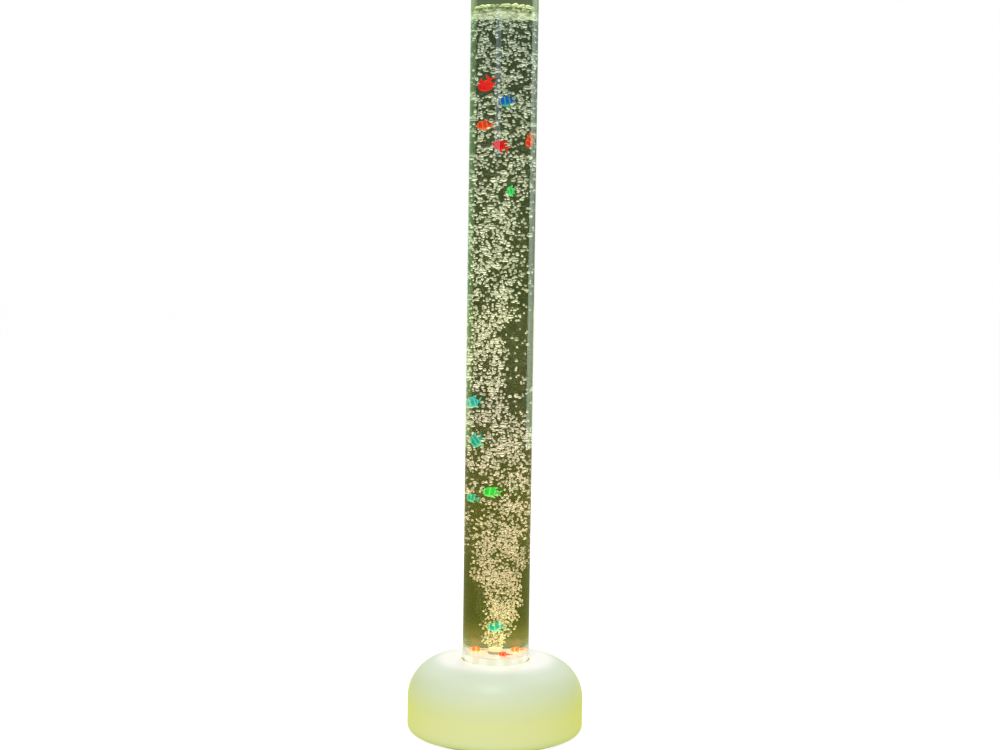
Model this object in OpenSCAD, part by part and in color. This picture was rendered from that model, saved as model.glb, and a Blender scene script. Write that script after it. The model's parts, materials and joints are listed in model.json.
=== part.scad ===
// Bubble tube floor lamp. Millimetres, standing on z = 0 with the tube's axis on Z.
// The front faces -Y, and the power inlet and buttons are at the back, +Y.

/* [Base] */
// Radius of the base shell
base_r = 132.5; // [130:0.5:140]
// Height of the base shell's flat top
base_h = 113; // [110:1:114]
// Radius of the shell's rounded shoulder
shoulder_r = 59; // [50:1:60]
// Radius of the shell's bottom edge
edge_r = 11; // [8:1:12]
// Thickness of the shell's wall
shell_wall = 3.5; // [3:0.5:4]
// Height of the shell's lower edge above the floor
edge_z = 3; // [2.5:0.5:3]
// Radius of the hole for the tube in the shell's top
neck_r = 52.8; // [52:0.2:53]
// Thickness of the base plate
plate_t = 3; // [2.5:0.5:3]
// Height that the rubber feet stand proud
foot_h = 2; // [1.5:0.5:2]

/* [Tube] */
// Outer radius of the clear tube
tube_r = 50; // [50:1:50]
// Wall of the clear tube
tube_wall = 4; // [3:0.5:4]
// Lower end of the tube
tube_z = 76; // [76:1:78]
// Length of the tube
tube_len = 1112; // [900:1:1200]
// Top face of the clear floor in the tube
floor_z = 122; // [121:1:123]
// Thickness of that floor
floor_t = 12; // [10:1:12]
// Thickness of the lid's plate over the tube's end
lid_t = 12; // [10:1:14]

/* [Light] */
// Radius of the light board
board_r = 53.5; // [50:0.5:54]
// Number of light-emitting diodes
led_count = 12; // [8:1:12]
// Radius of the ring of diodes
led_ring_r = 36; // [30:1:38]

/* [Air pump] */
// Length of the pump's case
pump_l = 70; // [70:1:74]
// Width of the pump's case
pump_w = 48; // [48:1:52]
// Height of the pump's case
pump_h = 45; // [45:1:48]
// Lift of the check valve's disc
disc_lift = 1; // [0.5:0.1:1]

/* [Controls] */
// Radius of a button's cap
button_r = 3.92; // [3.9:0.01:3.95]
// Travel of a button
button_travel = 1; // [0.5:0.1:1]
// Width of the window in the back of the shell
window_w = 60; // [56:1:62]
// Height of that window
window_h = 32; // [30:1:32]

/* [Fish] */
// Thickness of a plastic fish's body
fish_t = 7; // [6:0.5:7]
// Thickness of its fins
fin_t = 1.6; // [1:0.2:2]

/* [Hidden] */
$fn = 96;
over = 1;               // cutters run past the faces they cut
gap = 0.3;              // room between neighbouring pieces

// base
plate_z = foot_h;
plate_top = plate_z + plate_t;
plate_r = base_r - edge_r - gap;
flat_r = base_r - shoulder_r;
shoulder_z = base_h - shoulder_r;
boss_ring_r = 108;      // shell bosses, on the diagonals
boss_r = 4.5;
boss_top = 40;
boss_hole = 14;
rib_t = 2;
collar_t = 3;           // collar under the shell's top, round the socket
collar_h = 4;
window_corner = 4;
leg_ring_r = 60;        // legs of the tube socket, on the diagonals
leg_r = 5;
foot_r = 10;
foot_ring_r = 104;
foot_sink = 1;
foot_round = 1;
ring_t = 2;             // rings that stand on the base plate round posts and mounts
ring_h = 4;
slot_w = 3;
slot_l = 14;
slot_ring_r = 84;       // air slots in the base plate, clear of the pump
slot_angles = [60 : 30 : 300];
diagonals = [45, 135, 225, 315];

// screws: thread radius, head radius, head height
screw_m3 = [1.45, 3, 1.8];
screw_m2 = [1, 1.9, 1.3];
bottom_screw_l = 13;
pilot_m3 = 1.5;
pilot_m2 = 1.05;
hole_m2 = 1.2;
hole_m3 = 1.8;
sink_r = 3.4;
cross_w = 0.7;          // width and depth of the cross recess

// tube, its floor and the socket
bore_r = tube_r - tube_wall;
tube_top = tube_z + tube_len;
floor_r = bore_r - 0.05;
socket_r = tube_r + 5.5;
ledge_r = 44;
ledge_t = 4;
socket_top = base_h - shell_wall - gap;
leg_top = 96;
leg_hole = 16;
web_t = 4;              // web between a leg and the socket's wall
board_post_r = 3;
neck_top = base_h - 1.5;
lid_r = 53;
spigot_r = bore_r - gap;
spigot_l = 16;
vent_count = 6;
vent_r = 1.6;
vent_ring_r = 26;
lid_round = 5;
spigot_t = 3;

// air line on the tube's axis
shank_r = 4;
shank_z = 86;
nut_h = 5;
nut_r = 7.5;
washer_t = 1.6;
seal_t = 1.6;
flange_r = 9;
flange_t = 2;
stone_r = 7.5;
stone_h = 6.4;
stone_round = 1.5;
nipple_r = 2.5;         // nipple that the stone sits on
nipple_h = 3;
hose_r = 3.4;
hose_bore = 2;
barb_r = 2.2;
air_r = 1.2;
barb_z = 75;            // lower end of the nozzle's barb
valve_z = 46;           // lower end of the check valve's body
valve_split = 54;
valve_top = 62;
valve_r = 7.5;
chamber_r = 5;
seat_z = 50.5;
disc_r = 4.2;
disc_t = 1.2;
barb_l = 8;
barb_ring_h = 1.2;
barb_depth = 0.2;
stop_r = 0.7;           // stops that hold the disc off the upper spigot
hose_bend_r = 15;
hose_z = valve_z - barb_l - over - hose_bend_r;   // level of the pump's outlet

// light board
board_t = 1.6;
board_z = 66;
board_hole_r = 17;
board_post_ring = 49.5;
led_r = 2.5;
led_h = 5.5;

// pump, whose outlet faces the tube's axis
pump_x = 23;
pump_z = 11;
pump_wall = 2;
post_w = 5;             // posts in the corners of the case
cable_hole = [12, 44];  // place of the cable's hole in the case's end
intake_x = 66;
intake_step = 4;
saddle_x = 78;          // block that the iron core rests on
saddle_l = 11;
cover_t = 2.5;
mount_r = 5;
mount_x = [33, 83];
mount_y = 17;
block_x = 27;
block_l = 26;
block_w = 26;
block_top = 30;
flap_r = 2.7;
flap_t = 0.6;
flap_y = 4;
pin_x = 30;             // arm's pin
pin_z = 40;
pin_r = 1.5;
ear_in = 6;
ear_t = 3;
ear_l = 6;
ear_r = 3;
arm_t = 2;
bellows_x = 43;
bellows_r = 8;
fold_t = 1;
fold_depth = 1.6;
plate_x = 61;           // arm's end plate, which carries the magnet
magnet_x = 63;
magnet_l = 6;
magnet_w = 12;
core_x = 70;
core_l = 19;
core_w = 16;
core_leg = 5;
core_mid = 8;
core_gap = 5;
core_h = core_mid + 2 * (core_gap + core_leg);
bobbin_l = 12;
bobbin_wall = 0.8;

// controls at the back
panel_y = 120.3;
panel_t = 2.5;
panel_w = 65;
panel_low = 11.5;
panel_top = 50;
panel_hook_x = 28;      // hooks on the base plate that carry the panel
hook_w = 4;
hook_y = 112;
hook_h = 12;
hook_reach_z = 5;
control_z = 30;
button_x = [-22, -6];
inlet_x = 17;
pcb_y = 104;
pcb_t = 1.6;
pcb_x = [-34, 8];
pcb_z = [9, 44];
pcb_screw_z = 35;
pcb_screw_in = 4;
pcb_post = [6, 5, 36];
cap_x = [-17, -4];      // capacitors, behind the board
cap_r = 4;
header_size = [8, 6, 7];
headers = [[-6, 28], [-12, 18], [-22, 32]];
switch_w = 6;
switch_stem = 4.8;
inlet_thread_r = 4;
inlet_face_r = 5.8;
inlet_face_t = 1.5;
inlet_body_r = 5;
inlet_body_l = 6;
plug_r = 2.75;
plug_pin_r = 1.05;
plug_depth = 9.5;

pcb_screw_x = [pcb_x[0] + pcb_screw_in, pcb_x[1] - pcb_screw_in];

// cable routes, hand-laid round the pump, the legs and the bosses
cable_r = 1.8;
inlet_route = [
    [17, 103, 30], [17, 100, 30], [14, 94, 29], [7, 91, 28], [-2, 91, 28], [-6, 95, 28], [-6, 97.8, 28]
];
pump_route = [
    [85.5, 12, 45], [92, 12, 44], [96, 12, 44], [103, 16, 42], [103, 30, 34], [88, 52, 24],
    [62, 72, 15], [38, 84, 14], [8, 90, 15], [-10, 92, 17], [-12, 96, 18], [-12, 97.8, 18]
];
light_route = [
    [-18, 40, 65.6], [-18, 40, 62], [-19, 46, 55], [-22, 60, 45], [-23, 76, 37], [-22, 90, 33],
    [-22, 96, 32], [-22, 97.8, 32]
];

trunk_share = 0.7;      // body without the tail, of a fish's length
body_share = 0.68;      // body without the fins, of a fish's height

// fish: place, [turn about Z, nose-down tilt, roll], length, height, colour; the last three lie on the floor
fish_rows = [
    [[-15, 28, 976], [15, 72, 0], 26, 17, "red"],
    [[6.2, -29, 946], [0, 8, 0], 24, 18, "royalblue"],
    [[-21, -9, 912], [0, 4, 0], 24, 16, "orangered"],
    [[-1.4, -38, 880], [0, -24, 0], 26, 18, "red"],
    [[31.7, -2, 893], [70, 66, 0], 27, 17, "orangered"],
    [[11.3, -14, 816], [68, 5, 0], 22, 18, "mediumseagreen"],
    [[-23.4, 21, 501], [35, 10, 0], 22, 20, "teal"],
    [[-28, -20, 447], [0, 35, 0], 24, 23, "teal"],
    [[-4.8, 18, 365], [0, -10, 0], 22, 18, "mediumseagreen"],
    [[-29.3, -1, 357], [0, -10, 0], 20, 14, "teal"],
    [[2.6, 0, 163], [0, 5, 0], 24, 17, "teal"],
    [[13.3, -27, 126], [-30, 0, 90], 22, 12, "orangered"],
    [[-17.3, 12, 126], [0, 0, 90], 20, 11, "orangered"],
    [[24.3, 12, 126], [-10, 0, 90], 20, 11, "orangered"]
];

// ---------- shared shapes ----------

// Places its children at one radius on each of the given angles
module ring_of(r, angles) {
    for (a = angles) rotate(a) translate([r, 0, 0]) children();
}

// Places its children at equal steps round a ring
module spread(r, count) {
    ring_of(r, [for (i = [0 : count - 1]) i * 360 / count]) children();
}

// Ring of rectangular section about Z
module band(r_in, r_out, z_low, z_high) {
    rotate_extrude() translate([r_in, z_low]) square([r_out - r_in, z_high - z_low]);
}

// Pan-head screw pointing up, its head's lower face at z = 0, with a cross recess
module screw(size, length) {
    difference() {
        union() {
            cylinder(r = size[1], h = size[2]);
            cylinder(r = size[0], h = size[2] + length);
        }
        for (a = [0, 90]) rotate(a) translate([-size[1] * 0.6, -cross_w / 2, -over])
            cube([size[1] * 1.2, cross_w, over + cross_w]);
    }
}

// Rectangle with rounded corners, centred
module round_rect(w, h, r) {
    square([w - 2 * r, h], center = true);
    square([w, h - 2 * r], center = true);
    for (x = [-1, 1], y = [-1, 1]) translate([x * (w / 2 - r), y * (h / 2 - r)]) circle(r);
}

// Points of a smooth curve through the given ones, some steps to a stretch
function smooth_at(a, b, c, d, t) = 0.5 * (
    2 * b + (c - a) * t + (2 * a - 5 * b + 4 * c - d) * t * t + (3 * b - a - 3 * c + d) * t * t * t
);
function smooth(p, steps) = [
    for (i = [0 : len(p) - 2], s = [0 : steps - 1])
        smooth_at(p[max(i - 1, 0)], p[i], p[i + 1], p[min(i + 2, len(p) - 1)], s / steps),
    p[len(p) - 1]
];
function unit(v) = v / norm(v);
function side_of(t) = unit(cross(t, abs(t[2]) > 0.8 ? [1, 0, 0] : [0, 0, 1]));

// Round cable swept along a route
module cable(route, r, sides) {
    p = smooth(route, 4);
    n = len(p);
    rings = [
        for (i = [0 : n - 1])
            let (t = unit(p[min(i + 1, n - 1)] - p[max(i - 1, 0)]), u = side_of(t), v = cross(t, u))
            for (k = [0 : sides - 1]) p[i] + r * (u * cos(k * 360 / sides) + v * sin(k * 360 / sides))
    ];
    walls = [
        for (i = [0 : n - 2], k = [0 : sides - 1])
            let (a = i * sides + k, b = i * sides + (k + 1) % sides)
            each [[a, a + sides, b], [b, a + sides, b + sides]]
    ];
    first = [for (k = [1 : sides - 2]) [0, k, k + 1]];
    last = [for (k = [1 : sides - 2]) [(n - 1) * sides, (n - 1) * sides + k + 1, (n - 1) * sides + k]];
    polyhedron(rings, concat(walls, first, last));
}

// ---------- base ----------

// Half of the base's outline: bottom edge, upright side, round shoulder, flat top
module base_outline(inset) {
    side_z = edge_z + edge_r;
    translate([0, edge_z + inset]) square([base_r - edge_r, side_z - edge_z - inset]);
    translate([0, side_z]) square([base_r - inset, shoulder_z - side_z]);
    translate([0, shoulder_z]) square([flat_r, shoulder_r - inset]);
    intersection() {
        translate([flat_r, shoulder_z]) circle(shoulder_r - inset);
        translate([flat_r, shoulder_z]) square(shoulder_r);
    }
    intersection() {
        translate([base_r - edge_r, side_z]) circle(edge_r - inset);
        translate([base_r - edge_r, side_z - edge_r]) square(edge_r);
    }
}

// Hanging post for a base screw, with a rib to the shell's wall
module shell_boss() {
    post_z = plate_top + gap;
    difference() {
        union() {
            cylinder(r = boss_r, h = boss_top - post_z);
            translate([0, -rib_t / 2, edge_r])
                cube([base_r - boss_ring_r - shell_wall + over, rib_t, boss_top - edge_r - post_z]);
        }
        translate([0, 0, -over]) cylinder(r = pilot_m3, h = boss_hole + over);
    }
}

module dome_shell() color("honeydew") {
    difference() {
        rotate_extrude() difference() {
            base_outline(0);
            base_outline(shell_wall);
            translate([0, edge_z - over]) square([base_r - edge_r, shell_wall + 2 * over]);
            translate([0, base_h - shell_wall - over]) square([neck_r, shell_wall + 2 * over]);
        }
        translate([0, base_r + over, control_z]) rotate([90, 0, 0])
            linear_extrude(3 * shell_wall + edge_r) round_rect(window_w, window_h, window_corner);
    }
    band(socket_r + gap, socket_r + collar_t, base_h - shell_wall - collar_h, base_h - shell_wall);
    ring_of(boss_ring_r, diagonals) translate([0, 0, plate_top + gap]) shell_boss();
}

// Ring that stands up from the base plate round a post or a mount
module plate_socket(r_in) {
    difference() {
        cylinder(r = r_in + ring_t, h = ring_h);
        translate([0, 0, -over]) cylinder(r = r_in, h = ring_h + 2 * over);
    }
}

// Clearance hole with a sink for the head, from underneath
module sunk_hole() {
    translate([0, 0, plate_z - over]) cylinder(r = hole_m3, h = plate_t + 2 * over);
    translate([0, 0, plate_z - over]) cylinder(r = sink_r, h = over + screw_m3[2] + 0.1);
}

module base_plate() color("darkolivegreen") {
    difference() {
        translate([0, 0, plate_z]) cylinder(r = plate_r, h = plate_t);
        ring_of(boss_ring_r, diagonals) sunk_hole();
        ring_of(leg_ring_r, diagonals) sunk_hole();
        spread(foot_ring_r, 4) translate([0, 0, plate_z - over])
            cylinder(r = foot_r + 0.1, h = foot_sink + over);
        ring_of(slot_ring_r, slot_angles) translate([-slot_w / 2, -slot_l / 2, plate_z - over])
            cube([slot_w, slot_l, plate_t + 2 * over]);
    }
    translate([0, 0, plate_top]) {
        ring_of(leg_ring_r, diagonals) plate_socket(leg_r + 0.2);
        for (x = mount_x, y = [-mount_y, mount_y]) translate([x, y]) plate_socket(mount_r + 0.2);
    }
    for (x = pcb_screw_x) pcb_post_at(x);
    for (x = [-panel_hook_x, panel_hook_x]) translate([x - hook_w / 2, hook_y, plate_top]) panel_hook();
}

// Post in front of the control board, with the hole for its screw
module pcb_post_at(x) difference() {
    translate([x - pcb_post[0] / 2, pcb_y - gap - pcb_post[1], plate_top]) cube(pcb_post);
    translate([x, pcb_y + over, pcb_screw_z]) rotate([90, 0, 0]) cylinder(r = pilot_m2, h = 8);
}

// Post whose upper part reaches back to the rear panel, over the shell's turned-in edge
module panel_hook() {
    cube([hook_w, hook_w, hook_h]);
    translate([0, 0, hook_reach_z]) cube([hook_w, panel_y - hook_y - 0.05, hook_h - hook_reach_z]);
}

module rubber_feet() color("dimgray") spread(foot_ring_r, 4) rotate_extrude() {
    square([foot_r - foot_round, foot_round]);
    translate([0, foot_round]) square([foot_r, foot_h + foot_sink - foot_round]);
    translate([foot_r - foot_round, foot_round]) intersection() {
        circle(foot_round, $fn = 32);
        translate([0, -foot_round]) square(foot_round);
    }
}

// Screws through the base plate into the shell's posts and the socket's legs
module bottom_screws() color("silver") for (r = [boss_ring_r, leg_ring_r])
    ring_of(r, diagonals) translate([0, 0, plate_z]) screw(screw_m3, bottom_screw_l);

// ---------- tube and its socket ----------

module tube_socket() color("whitesmoke") {
    difference() {
        union() {
            band(tube_r + gap, socket_r, tube_z, socket_top);
            band(ledge_r, socket_r, tube_z - ledge_t, tube_z - 0.05);
            ring_of(leg_ring_r, diagonals) {
                translate([0, 0, plate_top + 0.05]) cylinder(r = leg_r, h = leg_top - plate_top);
                translate([socket_r - gap - leg_ring_r, -web_t / 2, tube_z - ledge_t])
                    cube([leg_ring_r - socket_r + gap, web_t, leg_top - tube_z + ledge_t]);
            }
            spread(board_post_ring, 4) translate([0, 0, board_z + board_t + 0.05])
                cylinder(r = board_post_r, h = tube_z - ledge_t - board_z - board_t + over);
        }
        ring_of(leg_ring_r, diagonals) translate([0, 0, plate_top - over])
            cylinder(r = pilot_m3, h = leg_hole + over);
        spread(board_post_ring, 4) translate([0, 0, board_z]) cylinder(r = pilot_m2, h = 8);
        cylinder(r = ledge_r, h = tube_z);
        translate([0, 0, tube_z]) cylinder(r = tube_r + gap, h = base_h);
    }
}

module neck_ring() color("darkkhaki") band(tube_r + 0.05, neck_r - 0.1, socket_top + 0.05, neck_top);

module tube() color("lightcyan", 0.3) band(bore_r, tube_r, tube_z, tube_top);

module tube_floor() color("lightcyan", 0.6) difference() {
    translate([0, 0, floor_z - floor_t]) cylinder(r = floor_r, h = floor_t);
    translate([0, 0, floor_z - floor_t - over]) cylinder(r = shank_r + 0.05, h = floor_t + 2 * over);
}

// Cap whose spigot drops into the tube, with a round edge and air vents
module lid() color("whitesmoke") {
    plate_low = tube_top + 0.05;
    difference() {
        rotate_extrude() {
            translate([0, plate_low]) square([lid_r - lid_round, lid_t]);
            translate([0, plate_low]) square([lid_r, lid_t - lid_round]);
            translate([lid_r - lid_round, plate_low + lid_t - lid_round]) intersection() {
                circle(lid_round);
                square(lid_round);
            }
            translate([spigot_r - spigot_t, tube_top - spigot_l]) square([spigot_t, spigot_l + over]);
        }
        spread(vent_ring_r, vent_count) translate([0, 0, tube_top - over])
            cylinder(r = vent_r, h = lid_t + 2 * over);
        translate([0, 0, plate_low - over]) cylinder(r = spigot_r - spigot_t, h = lid_t - 4 + over);
    }
}

// ---------- air line ----------

module air_nozzle() color("gainsboro") {
    seat = floor_z + seal_t;
    difference() {
        rotate_extrude() {
            translate([0, seat]) square([flange_r, flange_t]);
            translate([0, shank_z]) square([shank_r, seat - shank_z]);
            translate([0, barb_z]) square([barb_r - barb_depth, shank_z - barb_z]);
            for (z = [barb_z + 2, barb_z + 6]) translate([0, z]) square([barb_r, barb_ring_h]);
            translate([0, seat + flange_t]) square([nipple_r, nipple_h]);
        }
        translate([0, 0, barb_z - over]) cylinder(r = air_r, h = base_h);
    }
}

module nozzle_seal() color("dimgray")
    band(shank_r + 0.1, flange_r - 1, floor_z + 0.02, floor_z + seal_t - 0.02);

module nozzle_washer() color("silver")
    band(shank_r + 0.1, flange_r - 0.5, floor_z - floor_t - washer_t, floor_z - floor_t - 0.02);

module nozzle_nut() color("silver") difference() {
    translate([0, 0, floor_z - floor_t - washer_t - nut_h]) cylinder(r = nut_r, h = nut_h - 0.02, $fn = 6);
    translate([0, 0, floor_z - floor_t - washer_t - nut_h - over])
        cylinder(r = shank_r + 0.05, h = nut_h + 2 * over);
}

// Porous stone on the nozzle, which breaks the air into fine bubbles
module air_stone() color("lightgray") {
    low = floor_z + seal_t + flange_t + 0.05;
    difference() {
        rotate_extrude() {
            translate([0, low]) square([stone_r - stone_round, stone_h]);
            translate([0, low]) square([stone_r, stone_h - stone_round]);
            translate([stone_r - stone_round, low + stone_h - stone_round]) intersection() {
                circle(stone_round);
                square(stone_round);
            }
        }
        translate([0, 0, low - over]) cylinder(r = nipple_r + 0.05, h = nipple_h + 0.2 + over);
    }
}

module upper_hose() color("mintcream") band(hose_bore, hose_r, valve_top + 0.3, shank_z - 0.3);

// Hose from the pump's outlet, round one bend, up to the check valve
module lower_hose() color("mintcream") {
    translate([hose_bend_r, 0, hose_z]) rotate([0, 90, 0]) difference() {
        cylinder(r = hose_r, h = pump_x - hose_bend_r + 1.5);
        translate([0, 0, -over]) cylinder(r = hose_bore, h = pump_x);
    }
    translate([hose_bend_r, 0, hose_z + hose_bend_r]) rotate([90, 0, 0]) rotate(180)
        rotate_extrude(angle = 90) translate([hose_bend_r, 0]) difference() {
            circle(hose_r);
            circle(hose_bore);
        }
    band(hose_bore, hose_r, hose_z + hose_bend_r, valve_z - 0.3);
}

module check_valve_bottom() color("gainsboro") rotate_extrude() {
    translate([air_r, valve_z - barb_l]) square([barb_r - barb_depth - air_r, barb_l + over]);
    translate([air_r, valve_z - barb_l + 2]) square([barb_r - air_r, barb_ring_h]);
    translate([air_r, valve_z]) square([valve_r - air_r, seat_z - valve_z]);
    translate([chamber_r, seat_z - over])
        square([valve_r - chamber_r, valve_split - seat_z + over - 0.02]);
}

module check_valve_top() color("gainsboro") {
    roof = valve_split + 1.2;
    rotate_extrude() {
        translate([chamber_r, valve_split]) square([valve_r - chamber_r, 2]);
        translate([air_r, roof]) square([valve_r - air_r, valve_top - roof]);
        translate([air_r, valve_top - over]) square([barb_r - barb_depth - air_r, barb_l + over]);
        translate([air_r, valve_top + barb_l - 3]) square([barb_r - air_r, barb_ring_h]);
    }
    stop_z = seat_z + 0.2 + disc_t + disc_lift;
    spread(3, 3) translate([0, 0, stop_z]) cylinder(r = stop_r, h = roof - stop_z + 0.5);
}

module check_valve_disc() color("darkorange")
    translate([0, 0, seat_z + 0.1]) cylinder(r = disc_r, h = disc_t);

// ---------- light ----------

module light_board() color("white") difference() {
    translate([0, 0, board_z]) cylinder(r = board_r, h = board_t);
    translate([0, 0, board_z - over]) cylinder(r = board_hole_r, h = board_t + 2 * over);
    spread(board_post_ring, 4) translate([0, 0, board_z - over])
        cylinder(r = hole_m2, h = board_t + 2 * over);
}

module light_diodes() color("lemonchiffon") rotate(15)
    spread(led_ring_r, led_count) translate([0, 0, board_z + board_t + 0.02]) {
        cylinder(r = led_r + 0.4, h = 1);
        cylinder(r = led_r, h = led_h - led_r);
        translate([0, 0, led_h - led_r]) sphere(led_r);
    }

module board_screws() color("silver")
    spread(board_post_ring, 4) translate([0, 0, board_z - screw_m2[2] - 0.02]) screw(screw_m2, 6);

// ---------- air pump ----------

module pump_case() color("slategray") {
    inner_l = pump_l - 2 * pump_wall;
    inner_w = pump_w - 2 * pump_wall;
    difference() {
        translate([pump_x, -pump_w / 2, pump_z]) cube([pump_l, pump_w, pump_h]);
        translate([pump_x + pump_wall, -inner_w / 2, pump_z + pump_wall]) cube([inner_l, inner_w, pump_h]);
        translate([pump_x - over, 0, hose_z]) rotate([0, 90, 0]) cylinder(r = 3.8, h = pump_wall + 2 * over);
        translate([pump_x + pump_l - pump_wall - over, cable_hole[0], cable_hole[1]]) rotate([0, 90, 0])
            cylinder(r = cable_r + gap, h = pump_wall + 2 * over);
        for (y = [-intake_step, 0, intake_step]) translate([intake_x, y, pump_z - over])
            cylinder(r = air_r, h = pump_wall + 2 * over);
    }
    cover_corners() translate([-post_w / 2, -post_w / 2, pump_z + pump_wall]) difference() {
        cube([post_w, post_w, pump_h - pump_wall]);
        translate([post_w / 2, post_w / 2, pump_h - pump_wall - 8]) cylinder(r = pilot_m2, h = 8 + over);
    }
    translate([saddle_x, -core_w / 2, pump_z + pump_wall])
        cube([saddle_l, core_w, pin_z - core_h / 2 - pump_z - pump_wall - 0.05]);
}

module pump_cover() color("lightslategray") difference() {
    translate([pump_x, -pump_w / 2, pump_z + pump_h + 0.05]) cube([pump_l, pump_w, cover_t]);
    cover_corners() cylinder(r = hole_m2, h = pump_h + pump_z + 10);
}

// Places its children at the four corner posts of the pump's case
module cover_corners() {
    inset = pump_wall + post_w / 2;
    for (x = [pump_x + inset, pump_x + pump_l - inset], y = [-1, 1])
        translate([x, y * (pump_w / 2 - inset), 0]) children();
}

module cover_screws() color("silver") cover_corners()
    translate([0, 0, pump_z + pump_h + cover_t + 0.07 + screw_m2[2]]) rotate([180, 0, 0]) screw(screw_m2, 8);

module pump_mounts() color("dimgray") for (x = mount_x, y = [-mount_y, mount_y])
    translate([x, y, 0]) {
        band(0, mount_r, plate_top + 0.05, plate_top + 2);
        band(0, mount_r - 1.5, plate_top + 1.5, pump_z - 1.5);
        band(0, mount_r, pump_z - 2, pump_z - 0.05);
    }

module intake_filter() color("ivory")
    translate([intake_x, 0, pump_z + pump_wall + 0.05]) cylinder(r = 8, h = 2.5);

// Block with the inlet and outlet passages, and two ears for the arm's pin
module valve_block() color("gainsboro") {
    low = pump_z + pump_wall + 0.05;
    difference() {
        union() {
            translate([block_x, -block_w / 2, low]) cube([block_l, block_w, block_top - low]);
            for (y = [-ear_in - ear_t, ear_in]) {
                translate([block_x, y, block_top - over]) cube([ear_l, ear_t, pin_z - block_top + over]);
                translate([pin_x, y, pin_z]) rotate([-90, 0, 0]) cylinder(r = ear_r, h = ear_t);
            }
            translate([pump_x - barb_l, 0, hose_z]) rotate([0, 90, 0])
                cylinder(r = barb_r - barb_depth, h = block_x - pump_x + barb_l + over);
        }
        translate([pin_x, -ear_in - ear_t - over, pin_z]) rotate([-90, 0, 0])
            cylinder(r = pin_r + 0.02, h = 2 * (ear_in + ear_t + over));
        translate([pump_x - barb_l - over, 0, hose_z]) rotate([0, 90, 0])
            cylinder(r = air_r, h = bellows_x - pump_x + barb_l + over);
        for (y = [-flap_y, flap_y]) {
            translate([bellows_x, y, block_top - 4]) cylinder(r = flap_r + gap, h = 4 + over);
            translate([bellows_x, y, hose_z]) cylinder(r = air_r, h = block_top - hose_z);
        }
        translate([bellows_x, 0, hose_z]) rotate([-90, 0, 0]) cylinder(r = air_r, h = flap_y);
        translate([bellows_x, -flap_y, hose_z]) rotate([0, 90, 0]) cylinder(r = air_r, h = block_l);
    }
}

module valve_flaps() color("black") for (y = [-flap_y, flap_y])
    translate([bellows_x, y, block_top - 3.9]) cylinder(r = flap_r, h = flap_t);

// Rubber bellows with two folds, closed at the top
module bellows() color("dimgray") translate([bellows_x, 0, 0]) {
    low = block_top + 0.05;
    high = pin_z - arm_t / 2 - 0.35;
    fold = (high - low - 2 * fold_t) / 2;
    rotate_extrude() {
        translate([bellows_r - fold_depth, low]) square([fold_depth, fold_t]);
        for (i = [0, 1]) {
            translate([bellows_r - fold_depth, low + fold_t + i * fold]) square([fold_t, fold]);
            translate([bellows_r - fold_depth, low + fold_t + (i + 0.3) * fold])
                square([fold_depth, 0.4 * fold]);
        }
        translate([0, high - fold_t]) square([bellows_r - fold_depth + fold_t, fold_t]);
    }
}

module swing_arm() color("steelblue") difference() {
    union() {
        translate([pin_x, -ear_in + 0.4, pin_z]) rotate([-90, 0, 0]) cylinder(r = 3.2, h = 2 * ear_in - 0.8);
        translate([pin_x, -5, pin_z - arm_t / 2]) cube([plate_x - pin_x + 1, 10, arm_t]);
        translate([plate_x, -7, pin_z - 6.5]) cube([magnet_x - plate_x, 14, 13]);
    }
    translate([pin_x, -ear_in, pin_z]) rotate([-90, 0, 0]) cylinder(r = pin_r + 0.05, h = 2 * ear_in);
}

module arm_magnet() color("silver")
    translate([magnet_x + 0.02, -magnet_w / 2, pin_z - 6]) cube([magnet_l, magnet_w, 12]);

module arm_pin() color("lightgray") translate([pin_x, -ear_in - ear_t, pin_z]) rotate([-90, 0, 0])
    cylinder(r = pin_r, h = 2 * (ear_in + ear_t));

// Core of stacked iron sheets, with three legs towards the magnet
module iron_core() color("gray") translate([core_x, -core_w / 2, pin_z - core_h / 2]) {
    translate([core_l - core_leg, 0, 0]) cube([core_leg, core_w, core_h]);
    for (leg = [[0, core_leg], [core_leg + core_gap, core_mid], [core_h - core_leg, core_leg]])
        translate([0, 0, leg[0]]) cube([core_l - core_leg + over, core_w, leg[1]]);
}

// Rectangular tube along X round the middle leg, its inner face a step off the core
module leg_sleeve(x, length, inner, outer) {
    translate([x, 0, pin_z]) rotate([0, 90, 0]) linear_extrude(length) difference() {
        square([core_mid + 2 * outer, core_w + 2 * outer], center = true);
        square([core_mid + 2 * inner, core_w + 2 * inner], center = true);
    }
}

module bobbin() color("ivory") {
    leg_sleeve(core_x + 1, bobbin_l, 0.15, 0.15 + bobbin_wall);
    for (x = [core_x + 1, core_x + bobbin_l]) leg_sleeve(x, 1, 0.15, core_gap - 0.2);
}

module winding() color("peru")
    leg_sleeve(core_x + 2.02, bobbin_l - 2.04, 0.17 + bobbin_wall, core_gap - 0.8);

// ---------- controls ----------

module control_board() color("seagreen") difference() {
    translate([pcb_x[0], pcb_y, pcb_z[0]]) cube([pcb_x[1] - pcb_x[0], pcb_t, pcb_z[1] - pcb_z[0]]);
    for (x = pcb_screw_x) translate([x, pcb_y - over, pcb_screw_z]) rotate([-90, 0, 0])
        cylinder(r = hole_m2, h = pcb_t + 2 * over);
}

// Driver chip, capacitors and cable headers on the board
module board_parts() color("black") {
    translate([-26, pcb_y - 1.8, 12]) cube([9, 1.75, 6]);
    for (x = cap_x) translate([x, pcb_y + pcb_t + 0.05, 17]) rotate([-90, 0, 0]) cylinder(r = cap_r, h = 9);
    for (p = headers)
        translate([p[0] - header_size[0] / 2, pcb_y - header_size[1] - 0.05, p[1] - header_size[2] / 2])
            cube(header_size);
}

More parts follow.
